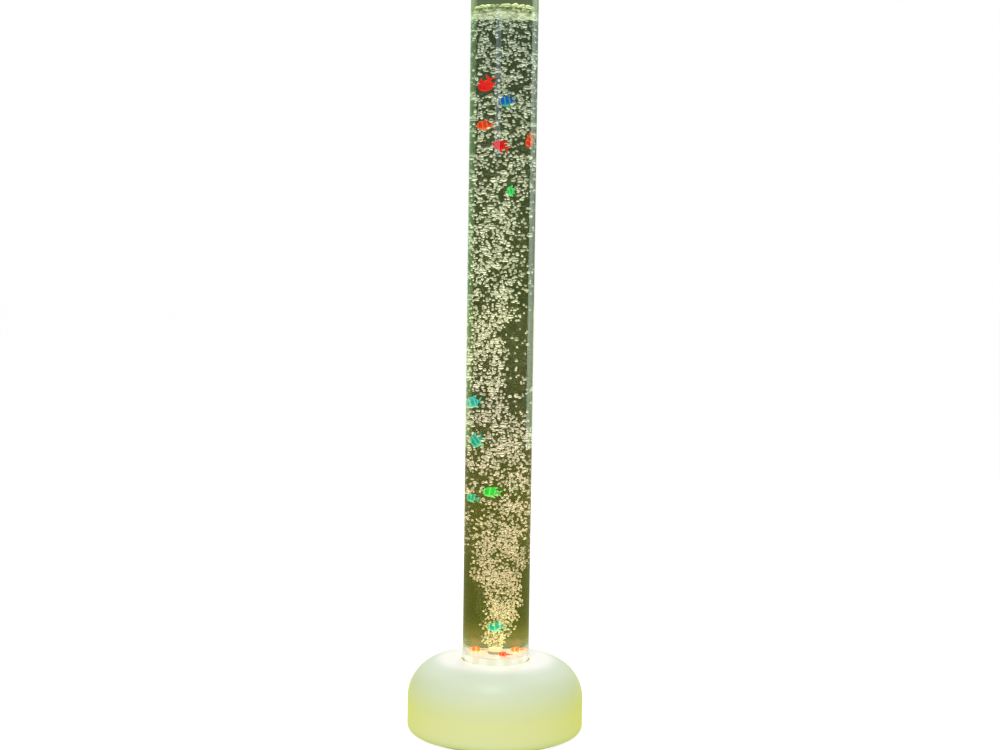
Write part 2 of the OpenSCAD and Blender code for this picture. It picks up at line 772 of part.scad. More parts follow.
module push_switches() color("dimgray")
    for (x = button_x) translate([x, pcb_y + pcb_t + 0.02, control_z]) {
        translate([-switch_w / 2, 0, -switch_w / 2]) cube([switch_w, 3.5, switch_w]);
        rotate([-90, 0, 0]) cylinder(r = 1.7, h = switch_stem);
    }

module control_screws() color("silver") for (x = pcb_screw_x)
    translate([x, pcb_y + pcb_t + 0.02 + screw_m2[2], pcb_screw_z]) rotate([90, 0, 0]) screw(screw_m2, 7);

module rear_panel() color("honeydew") difference() {
    translate([-panel_w / 2, panel_y, panel_low]) cube([panel_w, panel_t, panel_top - panel_low]);
    for (x = button_x) translate([x, panel_y - over, control_z]) rotate([-90, 0, 0])
        cylinder(r = button_r + 0.08, h = panel_t + 2 * over);
    translate([inlet_x, panel_y - over, control_z]) rotate([-90, 0, 0])
        cylinder(r = inlet_thread_r + 0.05, h = panel_t + 2 * over);
}

// Barrel socket for a plug of 5.5 mm with a centre pin of 2.1 mm
module power_inlet() color("black") translate([inlet_x, 0, control_z]) rotate([-90, 0, 0]) {
    face = panel_y + panel_t + 0.02;
    front = face + inlet_face_t;
    shoulder = panel_y - inlet_body_l;
    difference() {
        union() {
            translate([0, 0, face]) cylinder(r = inlet_face_r, h = inlet_face_t);
            translate([0, 0, shoulder]) cylinder(r = inlet_thread_r, h = front - shoulder);
            translate([0, 0, pcb_y]) cylinder(r = inlet_body_r, h = shoulder - pcb_y);
        }
        translate([0, 0, front - plug_depth]) cylinder(r = plug_r, h = plug_depth + over);
    }
    translate([0, 0, front - plug_depth - 0.5]) cylinder(r = plug_pin_r, h = plug_depth - 0.5);
}

module inlet_nut() color("silver") translate([inlet_x, 0, control_z]) rotate([-90, 0, 0]) difference() {
    translate([0, 0, panel_y - 2.5]) cylinder(r = 6.4, h = 2.45, $fn = 6);
    translate([0, 0, panel_y - 2.5 - over]) cylinder(r = inlet_thread_r + 0.05, h = 2.5 + 2 * over);
}

// Button with a flange behind the panel and a stem that presses the switch
module button(x) {
    translate([x, 0, control_z]) rotate([-90, 0, 0]) rotate_extrude() {
        translate([0, pcb_y + pcb_t + switch_stem + button_travel + 0.17]) square([1.6, 9]);
        translate([0, panel_y - 2.1]) square([button_r + 1.4, 2]);
        translate([0, panel_y - 1]) square([button_r, panel_t + 2.3]);
        translate([0, panel_y]) square([button_r - 0.5, panel_t + 1.8]);
    }
}

module power_button() color("whitesmoke") button(button_x[0]);

module mode_button() color("whitesmoke") button(button_x[1]);

module base_cables() color("dimgray")
    for (route = [inlet_route, pump_route, light_route]) cable(route, cable_r, 8);

// ---------- fish ----------

// Pointed oval between two arcs, centred, length along X
module oval(length, width) {
    arc_r = (length * length + width * width) / (4 * width);
    intersection() {
        translate([0, arc_r - width / 2]) circle(arc_r);
        translate([0, width / 2 - arc_r]) circle(arc_r);
    }
}

// Forked tail, back fin and belly fin of a fish with its nose at -X
module fish_fins(length, height) {
    polygon([[-length * 0.1, 0], [length * 0.04, height * 0.5], [length * 0.12, 0]]);
    polygon([[-length * 0.06, 0], [length * 0.1, -height * 0.46], [length * 0.1, 0]]);
    polygon([
        [length * 0.06, 0], [length * 0.5, height * 0.42], [length * 0.36, 0], [length * 0.5, -height * 0.42]
    ]);
}

module fish(i) {
    row = fish_rows[i];
    turn = row[1];
    length = row[2];
    height = row[3];
    body_l = length * trunk_share;
    color(row[4]) translate(row[0]) rotate(turn[0]) rotate([turn[2], -turn[1], 0]) {
        translate([(body_l - length) / 2, 0, 0]) intersection() {
            translate([0, fish_t, 0]) rotate([90, 0, 0])
                linear_extrude(2 * fish_t) oval(body_l, height * body_share);
            translate([0, 0, -height]) linear_extrude(2 * height) oval(body_l + fish_t, fish_t);
        }
        translate([0, fin_t / 2, 0]) rotate([90, 0, 0]) linear_extrude(fin_t) fish_fins(length, height);
    }
}

dome_shell();
base_plate();
rubber_feet();
bottom_screws();
tube_socket();
neck_ring();
tube();
tube_floor();
lid();
air_nozzle();
nozzle_seal();
nozzle_washer();
nozzle_nut();
air_stone();
upper_hose();
lower_hose();
check_valve_top();
check_valve_bottom();
check_valve_disc();
light_board();
light_diodes();
board_screws();
pump_case();
pump_cover();
cover_screws();
pump_mounts();
intake_filter();
valve_block();
valve_flaps();
bellows();
swing_arm();
arm_magnet();
arm_pin();
iron_core();
bobbin();
winding();
control_board();
board_parts();
push_switches();
control_screws();
rear_panel();
power_inlet();
inlet_nut();
power_button();
mode_button();
base_cables();
fish(0);  // fish_01
fish(1);  // fish_02
fish(2);  // fish_03
fish(3);  // fish_04
fish(4);  // fish_05
fish(5);  // fish_06
fish(6);  // fish_07
fish(7);  // fish_08
fish(8);  // fish_09
fish(9);  // fish_10
fish(10);  // fish_11
fish(11);  // fish_12
fish(12);  // fish_13
fish(13);  // fish_14
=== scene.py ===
"""Bubble tube floor lamp, standing on z = 0 with its tube's axis on Z and its front towards -Y.

A milky base shell, lit from inside, carries a clear acrylic tube of water. Air bubbles rise through the
water past fourteen small plastic fish and gather in a froth under the tube's dry top. All sizes are in metres
unless a name ends in _mm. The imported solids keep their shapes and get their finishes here. The tube, the
water with its bubbles, the fish and the pump's bellows are new surfaces, worked out from the sizes of the
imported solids.
"""

import json
import logging
import math
from dataclasses import dataclass
from enum import Enum
from typing import Any, Mapping, Sequence

import bpy
import numpy as np
from mathutils import Matrix, Vector


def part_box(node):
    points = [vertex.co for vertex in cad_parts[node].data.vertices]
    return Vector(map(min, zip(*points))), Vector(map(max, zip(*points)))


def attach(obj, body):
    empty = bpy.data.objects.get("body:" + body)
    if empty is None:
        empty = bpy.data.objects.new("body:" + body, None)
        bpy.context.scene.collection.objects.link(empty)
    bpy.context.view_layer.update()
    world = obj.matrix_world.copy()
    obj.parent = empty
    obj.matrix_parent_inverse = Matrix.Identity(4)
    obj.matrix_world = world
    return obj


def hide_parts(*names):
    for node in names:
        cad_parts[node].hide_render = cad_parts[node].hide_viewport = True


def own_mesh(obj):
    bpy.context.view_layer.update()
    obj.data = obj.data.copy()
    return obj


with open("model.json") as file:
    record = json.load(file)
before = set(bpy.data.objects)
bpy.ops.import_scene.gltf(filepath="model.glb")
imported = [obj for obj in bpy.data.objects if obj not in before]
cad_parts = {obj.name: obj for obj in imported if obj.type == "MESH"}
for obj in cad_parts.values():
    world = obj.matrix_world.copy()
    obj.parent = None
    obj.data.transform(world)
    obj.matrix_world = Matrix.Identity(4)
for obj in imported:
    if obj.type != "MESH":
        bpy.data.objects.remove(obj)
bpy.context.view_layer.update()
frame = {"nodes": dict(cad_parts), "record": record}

MM = 0.001
PHOTO_SIZE = (1000, 750)
FACTOR, FIRST, SECOND, MIXED = 0, 6, 7, 2  # sockets of the Mix node when it mixes colours
log = logging.getLogger("bubble_lamp")

Point = tuple[float, float, float]
Material = bpy.types.Material
Object = bpy.types.Object
Socket = bpy.types.NodeSocket
Tree = bpy.types.NodeTree
Look = dict[str, Any]  # a Principled shader's inputs; Normal is a bump's height, depth in mm and strength
Stops = Sequence[tuple[float, str]]  # a colour ramp's places and sRGB hex colours, in order


# ---------- colour and nodes ----------


def linear(code: str) -> tuple[float, ...]:
    """Turns an sRGB hex colour, such as "#D9DFA1", to linear red, green and blue, with 1 for alpha."""
    parts = [int(code[i : i + 2], 16) / 255 for i in (1, 3, 5)]
    return (*(p / 12.92 if p <= 0.04045 else ((p + 0.055) / 1.055) ** 2.4 for p in parts), 1.0)


def scale_of(size_mm: float) -> float:
    """Returns the texture scale whose lumps or cells are about size_mm across."""
    return 1.0 / (size_mm * MM)


def add_node(
    tree: Tree,
    kind: str,
    out: str | int,
    inputs: Mapping[Any, Any] | None = None,
    stops: Stops = (),
    **settings: Any,
) -> Socket:
    """Adds a node with its settings and links.

    Args:
        tree: the node tree.
        kind: the node's type name, without its "ShaderNode" prefix.
        out: the output to return, by name or number.
        inputs: by name or number, each input's source socket, plain value or sRGB hex colour.
        stops: a colour ramp's stops.
        settings: attributes of the node.

    Returns:
        The chosen output.
    """
    node = tree.nodes.new("ShaderNode" + kind)
    for name, value in settings.items():
        setattr(node, name, value)
    for key, value in (inputs or {}).items():
        if isinstance(value, Socket):
            tree.links.new(value, node.inputs[key])
        else:
            node.inputs[key].default_value = linear(value) if isinstance(value, str) else value
    for _ in stops[2:]:
        node.color_ramp.elements.new(0.5)
    for number, (place, code) in enumerate(stops):
        node.color_ramp.elements[number].position = place
        node.color_ramp.elements[number].color = linear(code)
    return node.outputs[out]


def blank_tree(owner: Material | bpy.types.World, end: str) -> tuple[Tree, Socket]:
    """Empties the node tree of a material or world.

    Args:
        owner: the material or world.
        end: the type name of its output node, without its "ShaderNode" prefix.

    Returns:
        The tree, and the input that takes its surface.
    """
    owner.use_nodes = True
    tree = owner.node_tree
    tree.nodes.clear()
    return tree, tree.nodes.new("ShaderNode" + end).inputs["Surface"]


# ---------- finishes ----------


@dataclass(frozen=True)
class Finish:
    """A finish: one Principled shader, dressed by each kind of finish in its own way."""

    name: str

    def build(self) -> Material:
        """Makes the material.

        Returns:
            A material whose tree ends in one dressed Principled shader.
        """
        material = bpy.data.materials.new(self.name)
        tree, surface = blank_tree(material, "OutputMaterial")
        look = self.dress(tree, add_node(tree, "TexCoord", "Object"))
        if "Normal" in look:
            height, depth_mm, strength = look["Normal"]
            relief = {"Height": height, "Distance": depth_mm * MM, "Strength": strength}
            look["Normal"] = add_node(tree, "Bump", "Normal", relief)
        tree.links.new(add_node(tree, "BsdfPrincipled", "BSDF", look), surface)
        return material

    def dress(self, tree: Tree, place: Socket) -> Look:
        """Adds the pattern's nodes.

        Args:
            tree: the node tree.
            place: the object's own coordinates.

        Returns:
            What goes into the shader.
        """
        raise NotImplementedError

    def mottled(self, tree: Tree, place: Socket, code: str, spread: float, size_mm: float) -> Socket:
        """Mixes a colour with a darker one of the same hue by a noise.

        Args:
            tree: the node tree.
            place: the coordinates.
            code: the sRGB hex colour.
            spread: how much darker the dark patches are, from 0 to 1.
            size_mm: the patches' size.

        Returns:
            The mixed colour.
        """
        dark = (*(c * (1 - spread) for c in linear(code)[:3]), 1.0)
        spots = {"Vector": place, "Scale": scale_of(size_mm), "Detail": 3.0}
        tones = {FACTOR: add_node(tree, "TexNoise", "Fac", spots), FIRST: dark, SECOND: code}
        return add_node(tree, "Mix", MIXED, tones, data_type="RGBA")

    def graded(self, tree: Tree, place: Socket, low: float, high: float, stops: Stops) -> Socket:
        """Colours by height.

        Args:
            tree: the node tree.
            place: the coordinates.
            low: the height of the stops' place 0.
            high: the height of the stops' place 1.
            stops: the colours.

        Returns:
            The graded colour.
        """
        height = add_node(tree, "SeparateXYZ", "Z", {"Vector": place})
        share = add_node(tree, "MapRange", "Result", {"Value": height, "From Min": low, "From Max": high})
        return add_node(tree, "ValToRGB", "Color", {"Fac": share}, stops)


@dataclass(frozen=True)
class MouldedPlastic(Finish):
    """Injection-moulded ABS or nylon: an even colour under a fine spark-eroded grain, with a soft sheen."""

    colour: str
    roughness: float = 0.42
    grain_mm: float = 0.9  # a mould's grain is 0.1 mm, drawn coarser so that it shows
    grain_depth_mm: float = 0.03

    def dress(self, tree: Tree, place: Socket) -> Look:
        """Colours the plastic, varies its gloss a little and adds the mould's grain."""
        cloud = add_node(tree, "TexNoise", "Fac", {"Vector": place, "Scale": scale_of(9.0)})
        gloss = {"Value": cloud, "To Min": self.roughness - 0.06, "To Max": self.roughness + 0.06}
        fine = {"Vector": place, "Scale": scale_of(self.grain_mm), "Detail": 1.0}
        grain = add_node(tree, "TexNoise", "Fac", fine)
        return {
            "Base Color": self.mottled(tree, place, self.colour, 0.06, 14.0),
            "Roughness": add_node(tree, "MapRange", "Result", gloss),
            "Normal": (grain, self.grain_depth_mm, 0.6),
        }


@dataclass(frozen=True)
class RubberFinish(Finish):
    """Moulded rubber or silicone: dull, with a bloom of lighter dust and faint flow marks."""

    colour: str
    bloom: str
    roughness: float = 0.75

    def dress(self, tree: Tree, place: Socket) -> Look:
        """Mixes the bloom over the rubber and roughens its skin."""
        cloud = add_node(tree, "TexNoise", "Fac", {"Vector": place, "Scale": scale_of(6.0), "Detail": 4.0})
        skin = add_node(tree, "TexNoise", "Fac", {"Vector": place, "Scale": scale_of(0.8)})
        stops = ((0.45, self.colour), (0.8, self.bloom))
        return {
            "Base Color": add_node(tree, "ValToRGB", "Color", {"Fac": cloud}, stops),
            "Roughness": self.roughness,
            "Normal": (skin, 0.05, 0.7),
        }


@dataclass(frozen=True)
class TurnedMetal(Finish):
    """Turned or drawn metal: fine lines across the tool's path and a bright, uneven gloss."""

    colour: str
    dull: str
    line_mm: float = 0.35

    def dress(self, tree: Tree, place: Socket) -> Look:
        """Sets the metal and lays the tool's lines across Z."""
        cut = {"Vector": place, "Scale": 0.05 * scale_of(self.line_mm), "Distortion": 0.4}
        lines = add_node(tree, "TexWave", "Fac", cut, bands_direction="Z")
        cloud = add_node(tree, "TexNoise", "Fac", {"Vector": place, "Scale": scale_of(3.0)})
        stops = ((0.3, self.dull), (0.7, self.colour))
        return {
            "Base Color": add_node(tree, "ValToRGB", "Color", {"Fac": cloud}, stops),
            "Metallic": 1.0,
            "Roughness": 0.3,
            "Normal": (lines, 0.01, 0.5),
        }


@dataclass(frozen=True)
class LayeredMetal(Finish):
    """Metal in close layers, each a ridge with a dark gap beside it."""

    axis: str
    profile: str
    layer_mm: float
    wander: float
    stops: Stops
    metallic: float
    roughness: float
    relief: tuple[float, float]  # depth in mm and strength

    def dress(self, tree: Tree, place: Socket) -> Look:
        """Bands the layers along their axis, with one ridge to each layer."""
        layers = {"Vector": place, "Scale": 0.157 * scale_of(self.layer_mm), "Distortion": self.wander}
        shape = {"bands_direction": self.axis, "wave_profile": self.profile}
        bands = add_node(tree, "TexWave", "Fac", layers, **shape)
        return {
            "Base Color": add_node(tree, "ValToRGB", "Color", {"Fac": bands}, self.stops),
            "Metallic": self.metallic,
            "Roughness": self.roughness,
            "Normal": (bands, *self.relief),
        }


@dataclass(frozen=True)
class StackedSheets(LayeredMetal):
    """Punched transformer sheets, lacquered and stacked: thin dark gaps between grey edges."""

    axis: str = "Y"
    profile: str = "SAW"
    layer_mm: float = 1.0  # real sheets are 0.5 mm, drawn twice as thick so that they show
    wander: float = 0.0
    stops: Stops = ((0.12, "#26272A"), (0.3, "#5E6064"))
    metallic: float = 0.7
    roughness: float = 0.5
    relief: tuple[float, float] = (0.08, 0.6)


@dataclass(frozen=True)
class WoundCopper(LayeredMetal):
    """Enamelled copper wire wound in layers on its bobbin: close ridges of warm, glossy metal."""

    axis: str = "X"
    profile: str = "SIN"
    layer_mm: float = 0.9  # the real wire is 0.2 mm, drawn coarser so that its turns show
    wander: float = 0.3
    stops: Stops = ((0.1, "#3D1608"), (0.7, "#B5652E"))
    metallic: float = 0.9
    roughness: float = 0.28
    relief: tuple[float, float] = (0.3, 0.9)


@dataclass(frozen=True)
class BoardLacquer(Finish):
    """Glass-fibre board under solder mask: glossy, with slightly raised tracks that run square."""

    mask: str
    track: str
    pitch_mm: float = 5.0

    def dress(self, tree: Tree, place: Socket) -> Look:
        """Draws the tracks as the edges of a square-celled pattern."""
        mesh = {"Vector": place, "Scale": scale_of(self.pitch_mm), "Randomness": 0.55}
        cells = add_node(tree, "TexVoronoi", "Distance", mesh, distance="CHEBYCHEV")
        edge = add_node(tree, "MapRange", "Result", {"Value": cells, "From Min": 0.36, "From Max": 0.44})
        stops = ((0.3, self.mask), (0.7, self.track))
        return {
            "Base Color": add_node(tree, "ValToRGB", "Color", {"Fac": edge}, stops),
            "Roughness": 0.3,
            "Normal": (edge, 0.04, 0.6),
        }


@dataclass(frozen=True)
class FilterFelt(Finish):
    """Needled wool felt: matt, with loose fibres that cross."""

    def dress(self, tree: Tree, place: Socket) -> Look:
        """Tangles a fine, deep noise for the fibres."""
        fibres = add_node(tree, "TexNoise", "Fac", {"Vector": place, "Scale": scale_of(0.7), "Detail": 6.0})
        stops = ((0.35, "#B9B19A"), (0.65, "#E4DECB"))
        return {
            "Base Color": add_node(tree, "ValToRGB", "Color", {"Fac": fibres}, stops),
            "Roughness": 0.95,
            "Sheen Weight": 0.3,
            "Normal": (fibres, 0.25, 0.9),
        }


@dataclass(frozen=True)
class PorousStone(Finish):
    """Sintered air stone: pale grit with open pores, lit through from below."""

    grit_mm: float = 0.9

    def dress(self, tree: Tree, place: Socket) -> Look:
        """Spots the pores with a cell pattern and lets the stone glow."""
        grit = add_node(tree, "TexVoronoi", "Distance", {"Vector": place, "Scale": scale_of(self.grit_mm)})
        stops = ((0.2, "#FFF2D2"), (0.75, "#DCCCA0"))
        colour = add_node(tree, "ValToRGB", "Color", {"Fac": grit}, stops)
        return {
            "Base Color": colour,
            "Emission Color": colour,
            "Emission Strength": 1.0,
            "Roughness": 0.9,
            "Normal": (grit, 0.3, 0.8),
        }


@dataclass(frozen=True)
class ClearTubing(Finish):
    """Soft silicone hose: cloudy, half clear, with a wet-looking gloss."""

    def dress(self, tree: Tree, place: Socket) -> Look:
        """Clouds the silicone and lets light through it."""
        return {
            "Base Color": self.mottled(tree, place, "#E6F1EC", 0.12, 5.0),
            "Transmission Weight": 0.5,
            "IOR": 1.41,
            "Roughness": 0.25,
        }


@dataclass(frozen=True)
class LitShell(Finish):
    """Opal acrylic shell, blow-moulded with a satin skin and lit from inside.

    Its light is pale on the shoulder, yellow-green low on the side, where the wall is thicker, and warm
    white round the neck, over the ring of diodes. Along the rim's underside it is painted shade: dark olive,
    for the shadowed gap under the shell.
    """

    glow_inner: float  # the neck's light is full within this radius
    glow_outer: float  # and ends at this one
    top: float
    rim: float  # height of the rim's underside as a share of the top's; the noise adds 0.027
    glow_depth: float = 0.012

    def dress(self, tree: Tree, place: Socket) -> Look:
        """Grades the light by height and by distance from the neck, with painted shade along the rim."""
        flat = add_node(tree, "VectorMath", "Vector", {0: place, 1: (1.0, 1.0, 0.0)}, operation="MULTIPLY")
        radius = add_node(tree, "VectorMath", "Value", {0: flat}, operation="LENGTH")
        height = add_node(tree, "SeparateXYZ", "Z", {"Vector": place})
        drift = add_node(tree, "TexNoise", "Fac", {"Vector": place, "Scale": scale_of(60.0)})
        wander = add_node(tree, "Math", "Value", {0: drift, 1: 0.006, 2: height}, operation="MULTIPLY_ADD")
        share = add_node(tree, "MapRange", "Result", {"Value": wander, "From Max": self.top})
        # the stops just over the rim are painted shade: dark olive where the gap under the shell lies in
        # shadow, fading into the side's light by the third stop
        stops = (
            (self.rim + 0.030, "#4C4A24"),
            (self.rim + 0.042, "#84873E"),
            (self.rim + 0.056, "#B4BC48"),
            (0.22, "#BDC23A"),
            (0.40, "#BEC230"),
            (0.60, "#B6BE4C"),
            (0.80, "#B0BA70"),
            (1.00, "#B4C08A"),
        )
        side = add_node(tree, "ValToRGB", "Color", {"Fac": share}, stops)
        ring = {"Value": radius, "From Min": self.glow_outer, "From Max": self.glow_inner}
        near = add_node(tree, "MapRange", "Result", ring)
        crown = {"Value": height, "From Min": self.top - self.glow_depth, "From Max": self.top}
        above = add_node(tree, "MapRange", "Result", crown)
        both = add_node(tree, "Math", "Value", {0: near, 1: above}, operation="MULTIPLY")
        soft = add_node(tree, "MapRange", "Result", {"Value": both}, interpolation_type="SMOOTHSTEP")
        tones = {FACTOR: soft, FIRST: side, SECOND: "#DBD8BC"}
        skin = add_node(tree, "TexNoise", "Fac", {"Vector": place, "Scale": scale_of(2.5), "Detail": 1.0})
        return {
            "Emission Color": add_node(tree, "Mix", MIXED, tones, data_type="RGBA"),
            "Emission Strength": 1.0,
            "Base Color": "#A8ACCA",
            "Roughness": 0.38,
            "Normal": (skin, 0.02, 0.4),
        }


@dataclass(frozen=True)
class ClearAcrylic(Finish):
    """Cast acrylic tube, polished: clear, with a faint green edge and hairline scratches along it."""

    def dress(self, tree: Tree, place: Socket) -> Look:
        """Makes the wall clear and lays the hairlines along Z."""
        drawn = add_node(tree, "Mapping", "Vector", {"Vector": place, "Scale": (1.0, 1.0, 0.02)})
        hairs = add_node(tree, "TexNoise", "Fac", {"Vector": drawn, "Scale": scale_of(0.6)})
        stops = ((0.30, "#EAF2EC"), (0.42, "#F6FBF7"))
        return {
            "Base Color": add_node(tree, "ValToRGB", "Color", {"Fac": hairs}, stops),
            "Transmission Weight": 1.0,
            "IOR": 1.49,
            "Roughness": 0.0,
        }


@dataclass(frozen=True)
class LitWater(Finish):
    """Water in the tube, tinted by height: clear with a golden band just over the floor, painted light where
    the diodes light the water, then green-gold, and grey high up, the colour of the room seen through it.
    """

    low: float
    high: float
    stops: Stops = (
        # the first four stops are painted light: clear just over the floor, then a golden band where the
        # diodes light the water
        (0.000, "#F8F6E4"),
        (0.018, "#F6EFC4"),
        (0.024, "#FFEE9C"),
        (0.036, "#D8C870"),
        (0.055, "#989B30"),
        (0.240, "#9A9838"),
        (0.400, "#7C8050"),
        (0.620, "#7E8A66"),
        (1.000, "#66757A"),
    )

    def dress(self, tree: Tree, place: Socket) -> Look:
        """Grades the tint by height."""
        return {
            "Base Color": self.graded(tree, place, self.low, self.high, self.stops),
            "Transmission Weight": 1.0,
            "IOR": 1.333,
            "Roughness": 0.0,
        }


@dataclass(frozen=True)
class PaintedBubbleLight(Finish):
    """Air in water with painted light: highlights under its belly and at its crown, and painted shade
    between.
    """

    # colours of the painted highlight under the bubble, the painted shade round its waist and the painted
    # highlight at its crown
    belly: str
    waist_shade: str
    crown: str
    low: float
    high: float
    # the painted light of the bubbles up the tube, by height from the floor to the water's top
    light: Stops = (
        (0.015, "#B4A88E"),
        (0.036, "#C6BAC0"),
        (0.060, "#D8C2FC"),
        (0.120, "#CDB7F6"),
        (0.24, "#D2C1FF"),
        (0.50, "#DFD5DB"),
        (0.77, "#C6C0B9"),
        (1.00, "#B3B6A3"),
    )

    def dress(self, tree: Tree, place: Socket) -> Look:
        """Paints each bubble's highlights and shade by its own height, scales them by its brightness, and
        grades the painted light of all of them up the tube.
        """
        level = add_node(tree, "Attribute", "Fac", attribute_name="level")
        bright = add_node(tree, "Attribute", "Fac", attribute_name="light")
        bands = (
            (0.0, self.belly),
            (0.34, self.belly),
            (0.5, self.waist_shade),
            (0.66, self.waist_shade),
            (0.86, self.crown),
        )
        skin = add_node(tree, "ValToRGB", "Color", {"Fac": level}, bands)
        column = self.graded(tree, place, self.low, self.high, self.light)
        lit = add_node(tree, "VectorMath", "Vector", {0: skin, 1: column}, operation="MULTIPLY")
        scaled = {0: lit, "Scale": bright}
        return {
            "Emission Color": add_node(tree, "VectorMath", "Vector", scaled, operation="SCALE"),
            "Emission Strength": 4.2,
            "Base Color": "#5A6048",
            "Roughness": 0.08,
        }


@dataclass(frozen=True)
class LitFloor(Finish):
    """Clear acrylic disc over the diodes: bright warm white, a little brighter over each diode."""

    count: int

    def dress(self, tree: Tree, place: Socket) -> Look:
        """Brightens the disc count times round the axis, by the sine of the angle."""
        x, y = (add_node(tree, "SeparateXYZ", axis, {"Vector": place}) for axis in "XY")
        angle = add_node(tree, "Math", "Value", {0: y, 1: x}, operation="ARCTAN2")
        turned_by = add_node(tree, "Math", "Value", {0: angle, 1: float(self.count)}, operation="MULTIPLY")
        wave = add_node(tree, "Math", "Value", {0: turned_by}, operation="SINE")
        share = add_node(tree, "MapRange", "Result", {"Value": wave, "From Min": -1.0})
        stops = ((0.2, "#F2E8D2"), (0.9, "#FFFBF2"))
        return {
            "Emission Color": add_node(tree, "ValToRGB", "Color", {"Fac": share}, stops),
            "Emission Strength": 0.74,
            "Base Color": "#F2F2E6",
            "Roughness": 0.15,
        }


@dataclass(frozen=True)
class FishPlastic(Finish):
    """Soft glossy plastic of an aquarium fish, dyed through, with paler painted bars and a pale belly.
     Its colours also glow: painted light for the diodes' light that reaches it through the water.
    """

    main: str
    pale: str
    strength: float

    def dress(self, tree: Tree, place: Socket) -> Look:
        """Lays the bars across the fish and the pale belly along it, from its own map."""
        chart = add_node(tree, "UVMap", "UV", uv_map="FishMap")
        across = {"Vector": chart, "Scale": 1.25, "Distortion": 1.2, "Detail": 1.0, "Phase Offset": 1.2}
        bars = add_node(tree, "TexWave", "Fac", across, bands_direction="X")
        painted = add_node(tree, "MapRange", "Result", {"Value": bars, "From Min": 0.72, "From Max": 0.95})
        barred = add_node(tree, "Math", "Value", {0: painted, 1: 0.75}, operation="MULTIPLY")
        up = add_node(tree, "SeparateXYZ", "Y", {"Vector": chart})
        belly = add_node(tree, "MapRange", "Result", {"Value": up, "From Min": 0.34, "From Max": 0.16})
        share = add_node(tree, "Math", "Value", {0: barred, 1: belly}, operation="MAXIMUM")
        tones = {FACTOR: share, FIRST: self.main, SECOND: self.pale}
        colour = add_node(tree, "Mix", MIXED, tones, data_type="RGBA")
        cells = {"Vector": chart, "Scale": 26.0, "Randomness": 0.4}
        scales = add_node(tree, "TexVoronoi", "Distance", cells)
        return {
            "Base Color": colour,
            "Emission Color": colour,
            # painted light: the fish's own colours glow
            "Emission Strength": self.strength,
            "Roughness": 0.22,
            "Normal": (scales, 0.12, 0.5),
        }


@dataclass(frozen=True)
class GlossBead(Finish):
    """A small glossy piece, lit or not: a painted eye, a diode's lens or the clear ring round the neck."""

    colour: str
    strength: float = 0.0

    def dress(self, tree: Tree, place: Socket) -> Look:
        """Mottles the bead and sets its light."""
        colour = self.mottled(tree, place, self.colour, 0.1, 1.0)
        return {
            "Base Color": colour,
            "Emission Color": colour,
            "Emission Strength": self.strength,
            "Roughness": 0.1,
        }


# ---------- closed forms ----------

NO_TRIS = np.zeros((0, 3), int)


@dataclass
class Form:
    """A closed surface as arrays: its points, and its faces of four and of three corners."""

    points: np.ndarray
    quads: np.ndarray
    tris: np.ndarray

    def volume(self) -> float:
        """Returns the signed volume: the sum of the triple products of its triangles, over six."""
        fans = np.concatenate([self.tris, self.quads[:, [0, 1, 2]], self.quads[:, [0, 2, 3]]])
        a, b, c = (self.points[fans[:, k]] for k in range(3))
        return float(np.einsum("ij,ij->i", a, np.cross(b, c)).sum() / 6)

    def at(self, points: np.ndarray) -> "Form":
        """Returns the same faces on other points."""
        return Form(points, self.quads, self.tris)

    def outward(self) -> "Form":
        """Returns the form with its faces turned outwards."""
        if self.volume() >= 0:
            return self
        return Form(self.points, self.quads[:, ::-1], self.tris[:, ::-1])

    def moved(self, matrix: Matrix) -> "Form":
        """Returns the form with a 4x4 matrix applied to its points."""
        m = np.array(matrix, float)
        return self.at(self.points @ m[:3, :3].T + m[:3, 3])

    def to_object(self, name: str, finish: Material) -> Object:
        """Makes a smooth-shaded object at the origin.

        Args:
            name: the piece's name.
            finish: its material.

        Returns:
            The object, linked to the scene.
        """
        mesh = bpy.data.meshes.new(name)
        mesh.from_pydata(self.points.tolist(), [], self.quads.tolist() + self.tris.tolist())
        mesh.polygons.foreach_set("use_smooth", np.ones(len(mesh.polygons), bool))
        mesh.materials.append(finish)
        mesh.update()
        piece = bpy.data.objects.new(name, mesh)
        bpy.context.scene.collection.objects.link(piece)
        return piece


def merge(forms: Sequence[Form]) -> Form:
    """Puts several forms into one, with each one's points after the last one's.

    Args:
        forms: the forms.

    Returns:
        The one form.
    """
    starts = np.cumsum([0] + [len(f.points) for f in forms[:-1]])
    return Form(
        np.concatenate([f.points for f in forms]),
        np.concatenate([f.quads + s for f, s in zip(forms, starts)]),
        np.concatenate([f.tris + s for f, s in zip(forms, starts)]),
    )


def grid_quads(rows: int, columns: int, wrap_rows: bool) -> np.ndarray:
    """Four-cornered faces of a grid that closes on itself across its columns.

    Args:
        rows: the number of rows, where point (i, k) has the index i * columns + k.
        columns: the number of points in a row.
        wrap_rows: True if the last row joins the first one too.

    Returns:
        An array of four indices a face.
    """
    i, k = np.meshgrid(np.arange(rows if wrap_rows else rows - 1), np.arange(columns), indexing="ij")
    down, right = (i + 1) % rows, (k + 1) % columns
    corners = [i * columns + k, down * columns + k, down * columns + right, i * columns + right]
    return np.stack(corners, -1).reshape(-1, 4)


